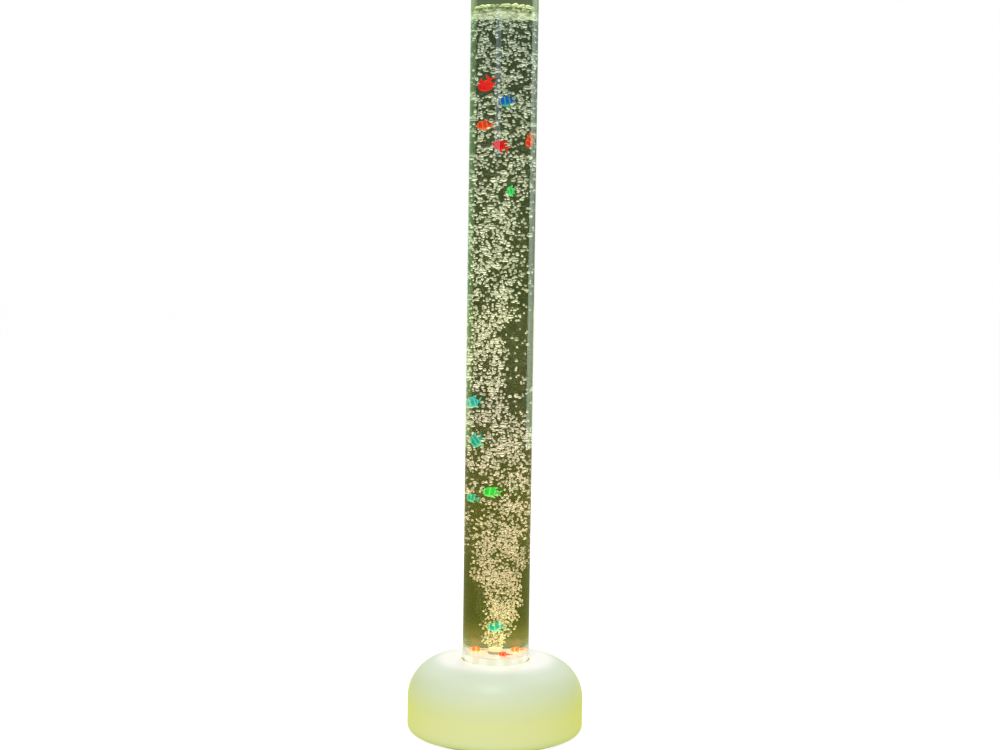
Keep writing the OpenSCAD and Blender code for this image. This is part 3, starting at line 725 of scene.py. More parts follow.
def loft(first: Sequence[float], rings: np.ndarray, last: Sequence[float]) -> Form:
    """Joins rings of points in order and closes each end with a fan to one point.

    Args:
        first: the point that closes the first ring.
        rings: an array of ring, point on the ring, and x, y, z.
        last: the point that closes the last ring.

    Returns:
        The closed form, its faces outwards.
    """
    count, sides, _ = rings.shape
    points = np.concatenate([rings.reshape(-1, 3), [first], [last]])
    k = np.arange(sides)
    k_next = (k + 1) % sides
    pole = np.full(sides, count * sides)
    end = (count - 1) * sides
    fans = np.concatenate([np.stack([pole, k, k_next], 1), np.stack([pole + 1, end + k_next, end + k], 1)])
    return Form(points, grid_quads(count, sides, False), fans).outward()


def turned(profile: np.ndarray, steps: int) -> np.ndarray:
    """Turns a profile round Z: profile point (r, z) at angle a goes to (r cos a, r sin a, z).

    Args:
        profile: rows of radius and height.
        steps: the number of angles in a full turn.

    Returns:
        An array of profile point, angle, and x, y, z.
    """
    angle = np.arange(steps) * 2 * np.pi / steps
    r, z = profile[:, 0, None], profile[:, 1, None]
    return np.stack([r * np.cos(angle), r * np.sin(angle), z + 0 * angle], -1)


def turned_ring(profile: np.ndarray, steps: int) -> Form:
    """Turns a closed outline that stays off the axis into a ring-shaped form."""
    rings = turned(profile, steps)
    return Form(rings.reshape(-1, 3), grid_quads(len(profile), steps, True), NO_TRIS).outward()


def turned_solid(profile: np.ndarray, steps: int) -> Form:
    """Turns an outline, from its first height on the axis to its last height on the axis, into a form."""
    low, high = (0.0, 0.0, profile[0, 1]), (0.0, 0.0, profile[-1, 1])
    return loft(low, turned(profile, steps), high)


def ball(rings: int, sides: int) -> tuple[np.ndarray, Form]:
    """Unit ball from poles and rings at even latitudes.

    Args:
        rings: the number of rings between the poles.
        sides: the number of points on a ring.

    Returns:
        Each point's height from 0 at the bottom to 1 at the top, and the form.
    """
    latitude = np.linspace(-np.pi / 2, np.pi / 2, rings + 2)[1:-1]
    profile = np.stack([np.cos(latitude), np.sin(latitude)], 1)
    form = loft((0.0, 0.0, -1.0), turned(profile, sides), (0.0, 0.0, 1.0))
    return form.points[:, 2] / 2 + 0.5, form


def smoothstep(low: float, high: float, value: np.ndarray) -> np.ndarray:
    """Returns 0 below low, 1 above high, and 3t^2 - 2t^3 of the share t between them."""
    t = np.clip((value - low) / (high - low), 0, 1)
    return t * t * (3 - 2 * t)


def set_values(piece: Object, name: str, values: np.ndarray) -> None:
    """Stores one number a point on a piece, under a name that a material reads."""
    attribute = piece.data.attributes.new(name, "FLOAT", "POINT")
    attribute.data.foreach_set("value", values.astype(np.float32))


# ---------- sub-assemblies ----------


@dataclass
class ClearTube:
    """The acrylic tube: a lathed wall whose two cut ends are polished round."""

    finish: Finish = ClearAcrylic("polished_cast_acrylic")
    wall: float = 0.004
    edge_r: float = 0.0006
    steps: int = 256
    edge_steps: int = 5
    guard: float = 0.0008  # extra rings this far from each edge keep the long walls' shading true

    def outline(self, radius: float, low: float, high: float) -> np.ndarray:
        """Closed outline of the wall: a rectangle whose four corners are quarter circles.

        Args:
            radius: the tube's outer radius.
            low: its lower end.
            high: its upper end.

        Returns:
            Rows of radius and height.
        """
        inner = radius - self.wall
        r = self.edge_r
        turn = np.linspace(0, np.pi / 2, self.edge_steps)
        corners = [
            (radius - r, low + r, -np.pi / 2),
            (radius - r, high - r, 0.0),
            (inner + r, high - r, np.pi / 2),
            (inner + r, low + r, np.pi),
        ]
        guards = [
            [(radius, low + self.guard), (radius, high - self.guard)],
            [],
            [(inner, high - self.guard), (inner, low + self.guard)],
            [],
        ]
        rows = [
            np.concatenate(
                [np.stack([x + r * np.cos(turn + a), z + r * np.sin(turn + a)], 1), np.reshape(g, (-1, 2))]
            )
            for (x, z, a), g in zip(corners, guards)
        ]
        return np.concatenate(rows)

    def build(self) -> Object:
        """Makes the tube in place of its plain solid.

        Returns:
            The tube's object.
        """
        low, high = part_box("tube")
        form = turned_ring(self.outline(high.x, low.z, high.z), self.steps)
        piece = form.to_object("clear_tube", self.finish.build())
        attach(piece, "base")
        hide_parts("tube")
        return piece


@dataclass
class Bellows:
    """The pump's rubber bellows: a lathed sleeve with two folds."""

    finish: Finish = RubberFinish("bellows_rubber", "#1E1E1C", "#3A3A36")
    folds: int = 2
    depth: float = 0.0016
    rows: int = 33
    steps: int = 48
    keep: float = 0.93  # share of its height that the arm's full swing leaves

    def build(self) -> None:
        """Makes the bellows in place of its plain solid, with the radius R - d (1 + cos 2 pi n t) / 2."""
        low, high = (np.array(corner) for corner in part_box("bellows"))
        t = np.linspace(0, 1, self.rows)
        radius = (high[0] - low[0]) / 2 - self.depth * (1 + np.cos(2 * np.pi * self.folds * t)) / 2
        form = turned_solid(np.stack([radius, low[2] + t * (high[2] - low[2])], 1), self.steps)
        middle = (low + high) / 2
        form = form.at(form.points + (middle[0], middle[1], 0.0))
        piece = form.to_object("rubber_bellows", self.finish.build())
        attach(piece, "base")
        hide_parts("bellows")
        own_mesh(piece)
        log.info("bellows: %d folds", self.folds)


class FishColour(Enum):
    """The dyes of the plastic fish: main colour, paler paint, and the record's material slot."""

    RED = ("#FF0010", "#FF2A20", "fish_red")
    BLUE = ("#0A5ED8", "#54C890", "fish_blue")
    ORANGE = ("#FF3606", "#FF8248", "fish_orange")
    AMBER = ("#FF6A1E", "#FFB888", "fish_orange")
    GREEN = ("#0AD05C", "#8CF0A8", "fish_green")
    TEAL = ("#00AED0", "#7CF0E8", "fish_teal")


@dataclass(frozen=True)
class FishPlace:
    """Where a fish hangs: its middle, turn about Z, nose's dip and roll, and its length and height."""

    spot_mm: Point
    turn: float
    dip: float
    roll: float
    length_mm: float
    height_mm: float
    colour: FishColour

    def matrix(self) -> Matrix:
        """Returns the matrix that takes the fish, made with its nose at -X, to its place."""
        return (
            Matrix.Translation(Vector(self.spot_mm) * MM)
            @ Matrix.Rotation(math.radians(self.turn), 4, "Z")
            @ Matrix.Rotation(math.radians(-self.dip), 4, "Y")
            @ Matrix.Rotation(math.radians(self.roll), 4, "X")
        )


@dataclass
class Shoal:
    """The plastic fish: a deep body with swept back and belly fins, a forked tail, side fins and eyes."""

    places: tuple[FishPlace, ...] = (
        FishPlace((-15, 28, 976), 15, 72, 0, 26, 17, FishColour.RED),
        FishPlace((6.2, -29, 946), 0, 8, 0, 24, 18, FishColour.BLUE),
        FishPlace((-21, -9, 912), 0, 4, 0, 24, 16, FishColour.ORANGE),
        FishPlace((-1.4, -38, 880), 0, -24, 0, 26, 18, FishColour.RED),
        FishPlace((31.7, -2, 893), 70, 66, 0, 27, 17, FishColour.ORANGE),
        FishPlace((11.3, -14, 816), 68, 5, 0, 22, 18, FishColour.GREEN),
        FishPlace((-23.4, 21, 501), 35, 10, 0, 22, 20, FishColour.TEAL),
        FishPlace((-28, -20, 447), 0, 35, 0, 24, 23, FishColour.TEAL),
        FishPlace((-4.8, 18, 365), 0, -10, 0, 22, 18, FishColour.GREEN),
        FishPlace((-29.3, -1, 357), 0, -10, 0, 20, 14, FishColour.TEAL),
        FishPlace((2.6, 0, 163), 0, 5, 0, 24, 17, FishColour.TEAL),
        FishPlace((13.3, -27, 126), -30, 0, 90, 22, 12, FishColour.ORANGE),
        FishPlace((-17.3, 12, 126), 0, 0, 90, 20, 11, FishColour.AMBER),
        FishPlace((24.3, 12, 126), -10, 0, 90, 20, 11, FishColour.AMBER),
    )
    thickness_mm: float = 7.0
    fin_mm: float = 1.4
    trunk: float = 0.72  # body without the tail, of the length
    depth: float = 0.80  # body without the fins, of the height
    rings: int = 22
    sides: int = 24
    fin_rings: int = 9
    fin_sides: int = 20
    # strength of the fish's painted glow
    glow: float = 1.7

    def body(self, length: float, height: float) -> Form:
        """Trunk of the fish: ellipses along X whose height follows sin(pi u^0.85)^0.7, fuller at the head.

        Args:
            length: the fish's length, with its tail.
            height: its height, with its fins.

        Returns:
            The trunk.
        """
        u = np.linspace(0, 1, self.rings + 2)[1:-1]
        rise = np.sin(np.pi * u**0.85) ** 0.7
        root = 0.16 * smoothstep(0.7, 1.0, u)
        half_h = height * self.depth / 2 * np.maximum(rise, root)
        half_w = self.thickness_mm / 2 * np.maximum(np.sin(np.pi * u**0.7) ** 0.8, root)
        angle = np.arange(self.sides) * 2 * np.pi / self.sides
        x = (u - 0.5) * length * self.trunk - length * (1 - self.trunk) / 2
        rings = np.stack(
            [
                x[:, None] + 0 * angle,
                half_w[:, None] * np.cos(angle),
                half_h[:, None] * np.sin(angle),
            ],
            -1,
        )
        nose, tail = -length / 2, -length / 2 + length * self.trunk
        return loft((nose, 0, 0), rings, (tail, 0, 0))

    def fin(
        self,
        path: np.ndarray,
        chord: np.ndarray,
        along: tuple[float, float],
        thick: tuple[float, float],
        lean: float = 0.0,
    ) -> Form:
        """A fin: flat ellipses carried along a path in the fish's own XZ plane, with a point at each end.

        Args:
            path: three points of x and z, which a square curve passes: root, middle and tip.
            chord: half the fin's width at the root, middle and tip.
            along: the direction of that width in XZ, of length 1.
            thick: half the thickness at the root and at the tip.
            lean: how far the tip stands off the fish's middle plane, along Y.

        Returns:
            The fin.
        """
        s = np.linspace(0, 1, self.fin_rings + 2)[1:-1]
        weights = np.stack([(1 - s) * (1 - 2 * s), 4 * s * (1 - s), s * (2 * s - 1)], 1)
        centre, half = weights @ path, weights @ chord
        close = np.sqrt(np.clip(1 - (2 * s - 1) ** 8, 0.02, 1))
        depth = (thick[0] + (thick[1] - thick[0]) * s) * close
        angle = np.arange(self.fin_sides) * 2 * np.pi / self.fin_sides
        rays = 1 + 0.25 * np.cos(8 * angle)
        across, over = np.cos(angle), np.sin(angle) * rays
        reach = (half * close)[:, None] * across
        rings = np.stack(
            [
                centre[:, :1] + reach * along[0],
                depth[:, None] * over + lean * s[:, None] ** 2,
                centre[:, 1:] + reach * along[1],
            ],
            -1,
        )
        return loft((path[0, 0], 0, path[0, 1]), rings, (path[2, 0], lean, path[2, 1]))

    def fins(self, length: float, height: float) -> list[Form]:
        """Tail lobes, back fin, belly fin and two side fins, as shares of the fish's length and height.

        Args:
            length: the fish's length.
            height: its height.

        Returns:
            The fins.
        """
        thick = (self.fin_mm / 2, 0.25)
        lobes = [
            ([(0.16, 0.0), (0.32, s * 0.12), (0.46, s * 0.33)], [0.08, 0.16, 0.08], (s * 0.45, 0.893), 0.0)
            for s in (1, -1)
        ]
        keels = [
            ([(-0.12, 0.28), (0.02, 0.40), (0.12, 0.49)], [0.18, 0.15, 0.05], (1.0, 0.0), 0.0),
            ([(-0.08, -0.28), (0.04, -0.39), (0.13, -0.455)], [0.14, 0.11, 0.04], (1.0, 0.0), 0.0),
        ]
        sides = [
            ([(-0.20, -0.04), (-0.12, -0.10), (-0.04, -0.20)], [0.02, 0.06, 0.03], (0.5, 0.866), s)
            for s in (1.0, -1.0)
        ]
        forms = []
        for path, chord, along, lean in lobes + keels + sides:
            half = np.array(chord) * (length if abs(along[0]) > 0.9 else height)
            form = self.fin(np.array(path) * (length, height), half, along, thick, lean * 2.0)
            forms.append(form.at(form.points + (0, lean * self.thickness_mm * 0.36, 0)))
        return forms

    def eyes(self, length: float, height: float) -> Form:
        """Two small balls, one on each side of the head.

        Args:
            length: the fish's length.
            height: its height.

        Returns:
            Both eyes.
        """
        _, unit = ball(5, 10)
        x, z, r = -0.36 * length, 0.07 * height, 0.055 * height
        y = self.thickness_mm / 2 * 0.62
        return merge([unit.at(unit.points * r + (x, s * y, z)) for s in (-1, 1)])

    def build_one(self, node: str, place: FishPlace, skin: Material, eye: Material) -> None:
        """Makes one fish in place of its plain solid.

        Args:
            node: the plain solid's name, which is its body's name too.
            place: where and how large it is.
            skin: the dyed plastic.
            eye: the paint of its eyes.
        """
        l, h = place.length_mm, place.height_mm
        shape = merge([self.body(l, h), *self.fins(l, h)])
        chart = np.stack([shape.points[:, 0] / l + 0.5, shape.points[:, 2] / h + 0.5], 1)
        whole = merge([shape, self.eyes(l, h)])
        chart = np.concatenate([chart, np.full((len(whole.points) - len(chart), 2), 0.5)])
        scaled = whole.at(whole.points * MM).moved(place.matrix())
        piece = scaled.to_object(node.replace("fish", "plastic_fish"), skin)
        mesh = piece.data
        mesh.materials.append(eye)
        corners = np.zeros(len(mesh.loops), np.int32)
        mesh.loops.foreach_get("vertex_index", corners)
        layer = mesh.uv_layers.new(name="FishMap")
        layer.data.foreach_set("uv", chart[corners].astype(np.float32).ravel())
        first = np.zeros(len(mesh.polygons), np.int32)
        mesh.polygons.foreach_get("loop_start", first)
        on_eye = (corners[first] >= len(shape.points)).astype(np.int32)
        mesh.polygons.foreach_set("material_index", on_eye)
        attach(piece, node)
        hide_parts(node)

    def build(self) -> None:
        """Makes every fish."""
        skins = {
            dye: FishPlastic(f"dyed_plastic_painted_glow_{dye.name.lower()}", *dye.value[:2], self.glow).build()
            for dye in FishColour
        }
        eye = GlossBead("painted_eye", "#14120F").build()
        for number, place in enumerate(self.places, 1):
            self.build_one(f"fish_{number:02d}", place, skins[place.colour], eye)
        log.info("shoal: %d fish", len(self.places))


@dataclass(frozen=True)
class BubbleZone:
    """A stretch of the tube with bubbles of one range of sizes, and how many a millilitre would hold."""

    name: str
    low: float
    high: float
    smallest: float
    largest: float
    per_ml: float


@dataclass(frozen=True)
class Drift:
    """A stretch of the stream that holds more or fewer bubbles on one side of the tube."""

    begins: tuple[float, float]  # the heights between which it comes in
    ends: tuple[float, float]  # and those between which it fades
    edge: float  # the x where it starts
    width: float  # and how far on it is full
    change: float  # what it adds to the share of bubbles there
    lean: float = 0.0  # how far the edge has moved above the stream's bend
    bend: tuple[float, float] = (0.58, 0.68)

    def share(self, x: np.ndarray, z: np.ndarray) -> np.ndarray:
        """Works out 1 + change S(z over begins) (1 - S(z over ends)) S(x over the edge), S a smoothstep.

        Args:
            x: the spots' x.
            z: their heights.

        Returns:
            The share of its bubbles that each spot keeps.
        """
        edge = self.lean * smoothstep(*self.bend, z) + self.edge
        tall = smoothstep(*self.begins, z) * (1 - smoothstep(*self.ends, z))
        return 1 + self.change * (tall * smoothstep(edge, edge + self.width, x))


@dataclass
class WaterColumn:
    """The lit water: its body with a meniscus, the rising bubbles, and the froth on top."""

    level: float = 1.0785
    overlap: float = 0.0003  # the water reaches this far into the wall, so that no gap shows
    meniscus: float = 0.0016
    meniscus_reach: float = 0.0035
    corner: float = 0.001  # rings this far from each edge keep the long walls' shading true
    hub: float = 0.02
    steps: int = 256
    seed: int = 7
    zones: tuple[BubbleZone, ...] = (
        BubbleZone("bubbles_low", 0.1330, 0.300, 0.0020, 0.0036, 30.0),
        BubbleZone("bubbles_lower_middle", 0.300, 0.480, 0.0020, 0.0041, 3.0),
        BubbleZone("bubbles_upper_middle", 0.480, 0.770, 0.0022, 0.0045, 3.2),
        BubbleZone("bubbles_high", 0.770, 1.073, 0.0022, 0.0048, 2.5),
    )
    # at these heights over the stone: the stream's radius, the share of its bubbles, and its middle's x
    plume_z: tuple[float, ...] = (0.133, 0.1385, 0.169, 0.199, 0.2375, 0.268, 0.310)
    plume_r: tuple[float, ...] = (0.010, 0.013, 0.021, 0.020, 0.027, 0.036, 0.048)
    plume_thin: tuple[float, ...] = (1.0, 1.0, 0.85, 0.72, 0.50, 0.22, 0.10)
    plume_x: tuple[float, ...] = (0.0, -0.0015, 0.0034, 0.0090, -0.0015, 0.002, 0.0)
    drifts: tuple[Drift, ...] = (
        Drift((0.46, 0.50), (0.76, 0.84), -0.006, 0.020, -0.84, lean=0.014),
        Drift((0.22, 0.26), (0.34, 0.40), -0.008, -0.020, -0.6),
        Drift((0.26, 0.30), (0.44, 0.50), 0.0, 0.02, 0.5),
    )
    ball_rings: int = 3
    ball_sides: int = 8
    squash: float = 0.82  # a rising bubble is flatter than it is wide
    # range of each bubble's painted light
    brightness: tuple[float, float] = (0.55, 1.25)
    between: float = 0.12  # share of the bubbles that stays between the clumps
    spacing: float = 0.85  # smallest distance between two bubbles, in the largest one's diameters
    wall_gap: float = 0.0006
    froth_pitch: float = 0.0088
    froth_lifts: tuple[float, ...] = (-0.0040, -0.0012, 0.0012, 0.0030)
    froth_shake: tuple[float, float, float] = (0.0035, 0.0035, 0.001225)
    froth_radius: tuple[float, float] = (0.0030, 0.0054)
    froth_gap: float = 0.0008
    froth_spill: float = 0.004  # spots this far past the bore are drawn back into it
    # painted light of the froth by height: even up to the water's top, darker above it
    froth_light: Stops = ((0.0, "#B4AE98"), (0.999, "#B4AE98"), (1.0, "#949680"))
    shown_fish: int = 10  # the fish over the stone and those on the floor stay among the bubbles
    sight_lean: float = 0.118  # a line of sight leaves the axis by its side offset over this length
    sight_rise: float = 0.063  # its slope, up to the fish above sight_level and down to those below
    sight_level: float = 0.6

    @property
    def bore(self) -> float:
        """Radius of the tube's bore."""
        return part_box("tube")[1].x - ClearTube.wall

    @property
    def floor(self) -> float:
        """Height of the tube's floor."""
        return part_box("tube_floor")[1].z

    def body(self) -> Object:
        """Makes the water: a disc-ended cylinder whose top edge climbs the wall in a meniscus."""
        r, low = self.bore + self.overlap, self.floor - self.overlap
        climb = np.linspace(0, 1, 9)[::-1]
        rim = np.stack([r - self.meniscus_reach * (1 - climb), self.level + self.meniscus * climb**3], 1)
        foot = [(self.hub, low), (r - self.corner, low), (r, low), (r, low + self.corner)]
        top = (self.hub, self.level)
        profile = np.concatenate([foot, [(r, self.level - self.corner)], rim, [top]])
        finish = LitWater("lit_water", self.floor, self.level)
        piece = turned_solid(profile, self.steps).to_object("water_body", finish.build())
        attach(piece, "base")
        return piece

    def crowd(self, spots: np.ndarray) -> np.ndarray:
        """Share of the bubbles that each spot keeps: the stream widens upwards and leans left half way up.

        Args:
            spots: rows of x, y and z.

        Returns:
            A share from 0 to 1 for each spot.
        """
        x, y, z = spots.T
        reach = np.interp(z, self.plume_z, self.plume_r)
        away = np.hypot(x - np.interp(z, self.plume_z, self.plume_x), y) / reach
        share = 1 - smoothstep(0.80, 1.15, away)
        for drift in self.drifts:
            share = share * drift.share(x, z)
        return share * np.where(z < self.zones[0].high, np.interp(z, self.plume_z, self.plume_thin), 1)

    def clumps(self, points: np.ndarray, rng: np.random.Generator) -> np.ndarray:
        """Clump field: a sum of sine waves in random directions, 18 to 50 mm long, squared.

        Args:
            points: rows of x, y and z.
            rng: the random source.

        Returns:
            The field at each point, from 0 to 1.
        """
        waves = 14
        direction = rng.normal(size=(waves, 3))
        direction /= np.linalg.norm(direction, axis=1)[:, None]
        number = 2 * np.pi / rng.uniform(0.018, 0.050, waves)
        phase = rng.uniform(0, 2 * np.pi, waves)
        total = np.sin(points @ (direction * number[:, None]).T + phase).sum(1) / math.sqrt(waves)
        return smoothstep(-1.2, 1.2, total) ** 2

    def scatter(self, zone: BubbleZone, rng: np.random.Generator) -> tuple[np.ndarray, np.ndarray]:
        """Sets out a zone's bubbles at random, thins them by the crowd and clump fields, and spaces them.

        Args:
            zone: the zone.
            rng: the random source.

        Returns:
            The bubbles' middles and radii.
        """
        span = np.array((2 * self.bore, 2 * self.bore, zone.high - zone.low))
        count = int(span.prod() * zone.per_ml * 1e6)
        spots = rng.uniform(-0.5, 0.5, (count, 3)) * span + (0.0, 0.0, (zone.low + zone.high) / 2)
        radius = rng.triangular(zone.smallest, zone.smallest * 1.3, zone.largest, count) / 2
        chance = self.crowd(spots) * (self.between + (1 - self.between) * self.clumps(spots, rng))
        inside = np.hypot(spots[:, 0], spots[:, 1]) < self.bore - self.wall_gap - radius
        low_enough = spots[:, 2] < self.level - radius
        keep = inside & low_enough & (rng.uniform(size=count) < chance) & self.clear_of_fish(spots)
        spots, radius = spots[keep], radius[keep]
        apart = self.apart(spots, self.spacing * zone.largest)
        return spots[apart], radius[apart]

    def apart(self, spots: np.ndarray, gap: float) -> np.ndarray:
        """Picks spots that stand off each other: one in a cube of side gap, and none too near a neighbour's.

        Args:
            spots: rows of x, y and z.
            gap: the smallest distance between two spots.

        Returns:
            The indices of the spots that stay.
        """
        cell = np.floor((spots - spots.min(0)) / gap).astype(int) + 1
        size = cell.max(0) + 2
        key, first = np.unique(np.ravel_multi_index(cell.T, size), return_index=True)
        owner = np.full(size.prod(), -1)
        owner[key] = first
        keep = np.ones(len(first), bool)
        for step in np.ndindex(3, 3, 3):
            if step <= (1, 1, 1):
                continue
            other = owner[np.ravel_multi_index((cell[first] + step - 1).T, size)]
            distance = np.linalg.norm(spots[first] - spots[other], axis=1)
            keep &= (other < 0) | (distance >= gap)
        return first[keep]

    def clear_of_fish(self, spots: np.ndarray, room: float = 0.002) -> np.ndarray:
        """Finds the spots that leave the upper fish in sight.

        Args:
            spots: rows of x, y and z.
            room: how far each fish's box is grown.

        Returns:
            True for each spot outside those fish's boxes and off the line of sight from the front to them.
        """
        clear = np.ones(len(spots), bool)
        for number in range(1, self.shown_fish + 1):
            low, high = (np.array(c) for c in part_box(f"fish_{number:02d}"))
            middle = (low + high) / 2
            before = np.maximum(middle[1] - spots[:, 1], 0)
            leaned = spots - np.stack(
                [
                    before * middle[0] / self.sight_lean,
                    spots[:, 1] - np.maximum(spots[:, 1], middle[1]),
                    -before * self.sight_rise * np.sign(middle[2] - self.sight_level),
                ],
                1,
            )
            clear &= ~np.all((leaned > low - room) & (leaned < high + room), axis=1)
        return clear

    def balls(
        self,
        name: str,
        spots: np.ndarray,
        radius: np.ndarray,
        finish: Material,
        rng: np.random.Generator,
        shape: tuple[int, int],
    ) -> None:
        """Copies one flattened ball to every spot in a single mesh.

        Args:
            name: the piece's name.
            spots: the balls' middles.
            radius: their radii.
            finish: their material.
            rng: the random source, for each ball's flatness and brightness.
            shape: rings and sides of a ball.
        """
        level, unit = ball(*shape)
        count, size = len(spots), len(unit.points)
        flat = np.stack([np.ones(count), np.ones(count), rng.uniform(self.squash, 1.0, count)], 1)
        points = unit.points[None] * (radius[:, None] * flat)[:, None] + spots[:, None]
        shift = np.arange(count)[:, None, None] * size
        form = Form(
            points.reshape(-1, 3),
            (unit.quads[None] + shift).reshape(-1, 4),
            (unit.tris[None] + shift).reshape(-1, 3),
        )
        piece = form.to_object(name, finish)
        set_values(piece, "level", np.tile(level, count))
        set_values(piece, "light", np.repeat(rng.uniform(*self.brightness, count), size))
        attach(piece, "base")

    def rise(self, finish: Material) -> None:
        """Makes the bubbles of every zone, and the few large ones among them.

        Args:
            finish: their material.
        """
        rng = np.random.default_rng(self.seed)
        zone = BubbleZone("bubbles_large", 0.40, self.level, 0.0050, 0.0078, 0.09)
        large, large_r = self.scatter(zone, rng)
        self.balls(zone.name, large, large_r, finish, rng, (5, 12))
        total = len(large)
        for zone in self.zones:
            spots, radius = self.scatter(zone, rng)
            gap = np.linalg.norm(spots[:, None] - large[None], axis=2) - large_r - radius[:, None]
            spots, radius = spots[gap.min(1) > 0], radius[gap.min(1) > 0]
            self.balls(zone.name, spots, radius, finish, rng, (self.ball_rings, self.ball_sides))
            total += len(spots)
        log.info("water: %d bubbles", total)

    def froth(self) -> None:
        """Makes the froth: four shaken layers of large bubbles, from just under the water's top."""
        rng = np.random.default_rng(self.seed + 1)
        # painted highlight under each froth bubble, painted shade round its waist, painted highlight at its
        # crown
        tones = ("#F8FAE2", "#A0AC80", "#F2F6D8")
        finish = PaintedBubbleLight("froth_painted_light", *tones, self.floor, self.level, self.froth_light).build()
        side = np.arange(-self.bore, self.bore, self.froth_pitch)
        z, y, x = np.meshgrid(self.level + np.array(self.froth_lifts), side, side, indexing="ij")
        spots = np.stack([x.ravel(), y.ravel(), z.ravel()], 1)
        spots += rng.uniform(-1, 1, spots.shape) * self.froth_shake
        radius = rng.uniform(*self.froth_radius, len(spots))
        away = np.hypot(spots[:, 0], spots[:, 1])
        pull = np.minimum(1, (self.bore - self.froth_gap - radius) / np.maximum(away, 1e-6))
        spots[:, :2] *= pull[:, None]
        keep = away < self.bore + self.froth_spill
        self.balls("froth", spots[keep], radius[keep], finish, rng, (7, 14))
        log.info("froth: %d bubbles", int(keep.sum()))

    def build(self) -> Object:
        """Makes the water, its bubbles and its froth.

        Returns:
            The water's body.
        """
        water = self.body()
        # painted highlight under each bubble, painted shade round its waist, painted highlight at its crown
        tones = ("#FFFDF4", "#605D4A", "#F6F5E8")
        self.rise(PaintedBubbleLight("bubble_painted_light", *tones, self.floor, self.level).build())
        self.froth()
        return water


@dataclass
class PackedPieces:
    """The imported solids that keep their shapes, each with the finish of its material slot."""

    glow_inner: float = 0.076
    glow_outer: float = 0.104
    diodes: int = 12

    def finishes(self) -> dict[str, Finish]:
        """Returns the finish for each of the record's material slots, and for a node that has its own."""
        rim, top = (corner.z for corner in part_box("dome_shell"))
        rows: list[tuple[str, Finish]] = [
            ("milky_shell", LitShell("opal_acrylic_lit", self.glow_inner, self.glow_outer, top, rim / top)),
            ("plate_grey", MouldedPlastic("abs_plate_olive", "#4B4B30", 0.55)),
            ("foot_rubber", RubberFinish("nitrile_rubber", "#1E1E1C", "#3A3A36")),
            ("screw_steel", TurnedMetal("zinc_plated_steel", "#C9CBCE", "#8F9296")),
            ("socket_white", MouldedPlastic("abs_white", "#EFF1EA")),
            # painted light: the washer under the stone is coloured pale, for the diodes' light that falls on
            # it from below
            ("nozzle_seal", RubberFinish("pale_washer_painted_light", "#D2CEB4", "#E6E2CC", 0.5)),
            ("seal_rubber", GlossBead("lit_silicone_ring", "#D2C498", 0.55)),
            ("floor_acrylic", LitFloor("lit_floor_disc", self.diodes)),
            ("lid_white", MouldedPlastic("abs_lid_satin", "#EEF0EA", 0.36)),
            ("nozzle_plastic", MouldedPlastic("nylon_nozzle", "#D6DAD8", 0.35)),
            ("stone_grey", PorousStone("sintered_stone")),
            ("silicone_hose", ClearTubing("silicone_hose_wall")),
            ("valve_plastic", MouldedPlastic("polypropylene_grey", "#CDD0D2", 0.38)),
            ("valve_disc", RubberFinish("orange_valve_rubber", "#E0670F", "#F09048", 0.6)),
            ("board_white", BoardLacquer("white_solder_mask", "#F2F1E8", "#DAD6C2", 6.0)),
            ("diode_clear", GlossBead("lit_diode_lens", "#FFF6CF", 4.0)),
            ("pump_plastic", MouldedPlastic("abs_slate", "#56606B", 0.45)),
            ("filter_felt", FilterFelt("needled_felt")),
            ("arm_steel", TurnedMetal("blued_spring_steel", "#6E8CAB", "#4A6480")),
            ("iron", StackedSheets("stacked_iron_sheets")),
            ("bobbin_nylon", MouldedPlastic("nylon_natural", "#EAE4CC", 0.4)),
            ("copper_wire", WoundCopper("enamelled_copper_wire")),
            ("board_green", BoardLacquer("green_solder_mask", "#0E5A32", "#2E8A54")),
            ("part_black", MouldedPlastic("glass_filled_nylon_black", "#17181A", 0.4)),
            ("button_white", MouldedPlastic("abs_button_satin", "#F0F1EC", 0.3)),
            ("cable_sheath", RubberFinish("pvc_sheath", "#2A2A2C", "#3C3C3E", 0.5)),
        ]
        return dict(rows)

    def build(self) -> None:
        """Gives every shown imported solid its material."""
        finishes = self.finishes()
        made: dict[str, Material] = {}
        for row in frame["record"]["subparts"]:
            node = frame["nodes"][row["node"]]
            key = row["node"] if row["node"] in finishes else row["material_slot"]
            if node.hide_render:
                continue
            if key not in made:
                made[key] = finishes[key].build()
            for holder in node.material_slots:
                holder.material = made[key]
            log.info("%s: %s", row["node"], made[key].name)


# ---------- studio ----------


@dataclass(frozen=True)
class Softbox:
    """A rectangular studio light, which the camera never sees itself."""

    name: str
    spot: Point
    aim: Point
    size: tuple[float, float]
    radiance: float
    colour: str = "#FFFFFF"
    matt: bool = False  # it lights what is matt
    shines: bool = True  # and is mirrored in what shines
    clear_only: bool = False  # only the tube and the water mirror it, not the shell

    def build(self, clear: bpy.types.Collection) -> None:
        """Makes the light, whose power is its radiance times its area times pi.

        Args:
            clear: the collection of the clear pieces.
        """
        data = bpy.data.lights.new(self.name, "AREA")
        data.shape = "RECTANGLE"
        data.size, data.size_y = self.size
        data.energy = self.radiance * self.size[0] * self.size[1] * math.pi
        data.color = linear(self.colour)[:3]
        lamp = bpy.data.objects.new(self.name, data)
        bpy.context.scene.collection.objects.link(lamp)
        lamp.location = self.spot
        lamp.rotation_mode = "QUATERNION"
        lamp.rotation_quaternion = (Vector(self.aim) - Vector(self.spot)).to_track_quat("-Z", "Y")
        lamp.visible_camera = False
        lamp.visible_transmission = False
        lamp.visible_diffuse = self.matt
        lamp.visible_glossy = self.shines
        if self.clear_only:
            lamp.light_linking.receiver_collection = clear


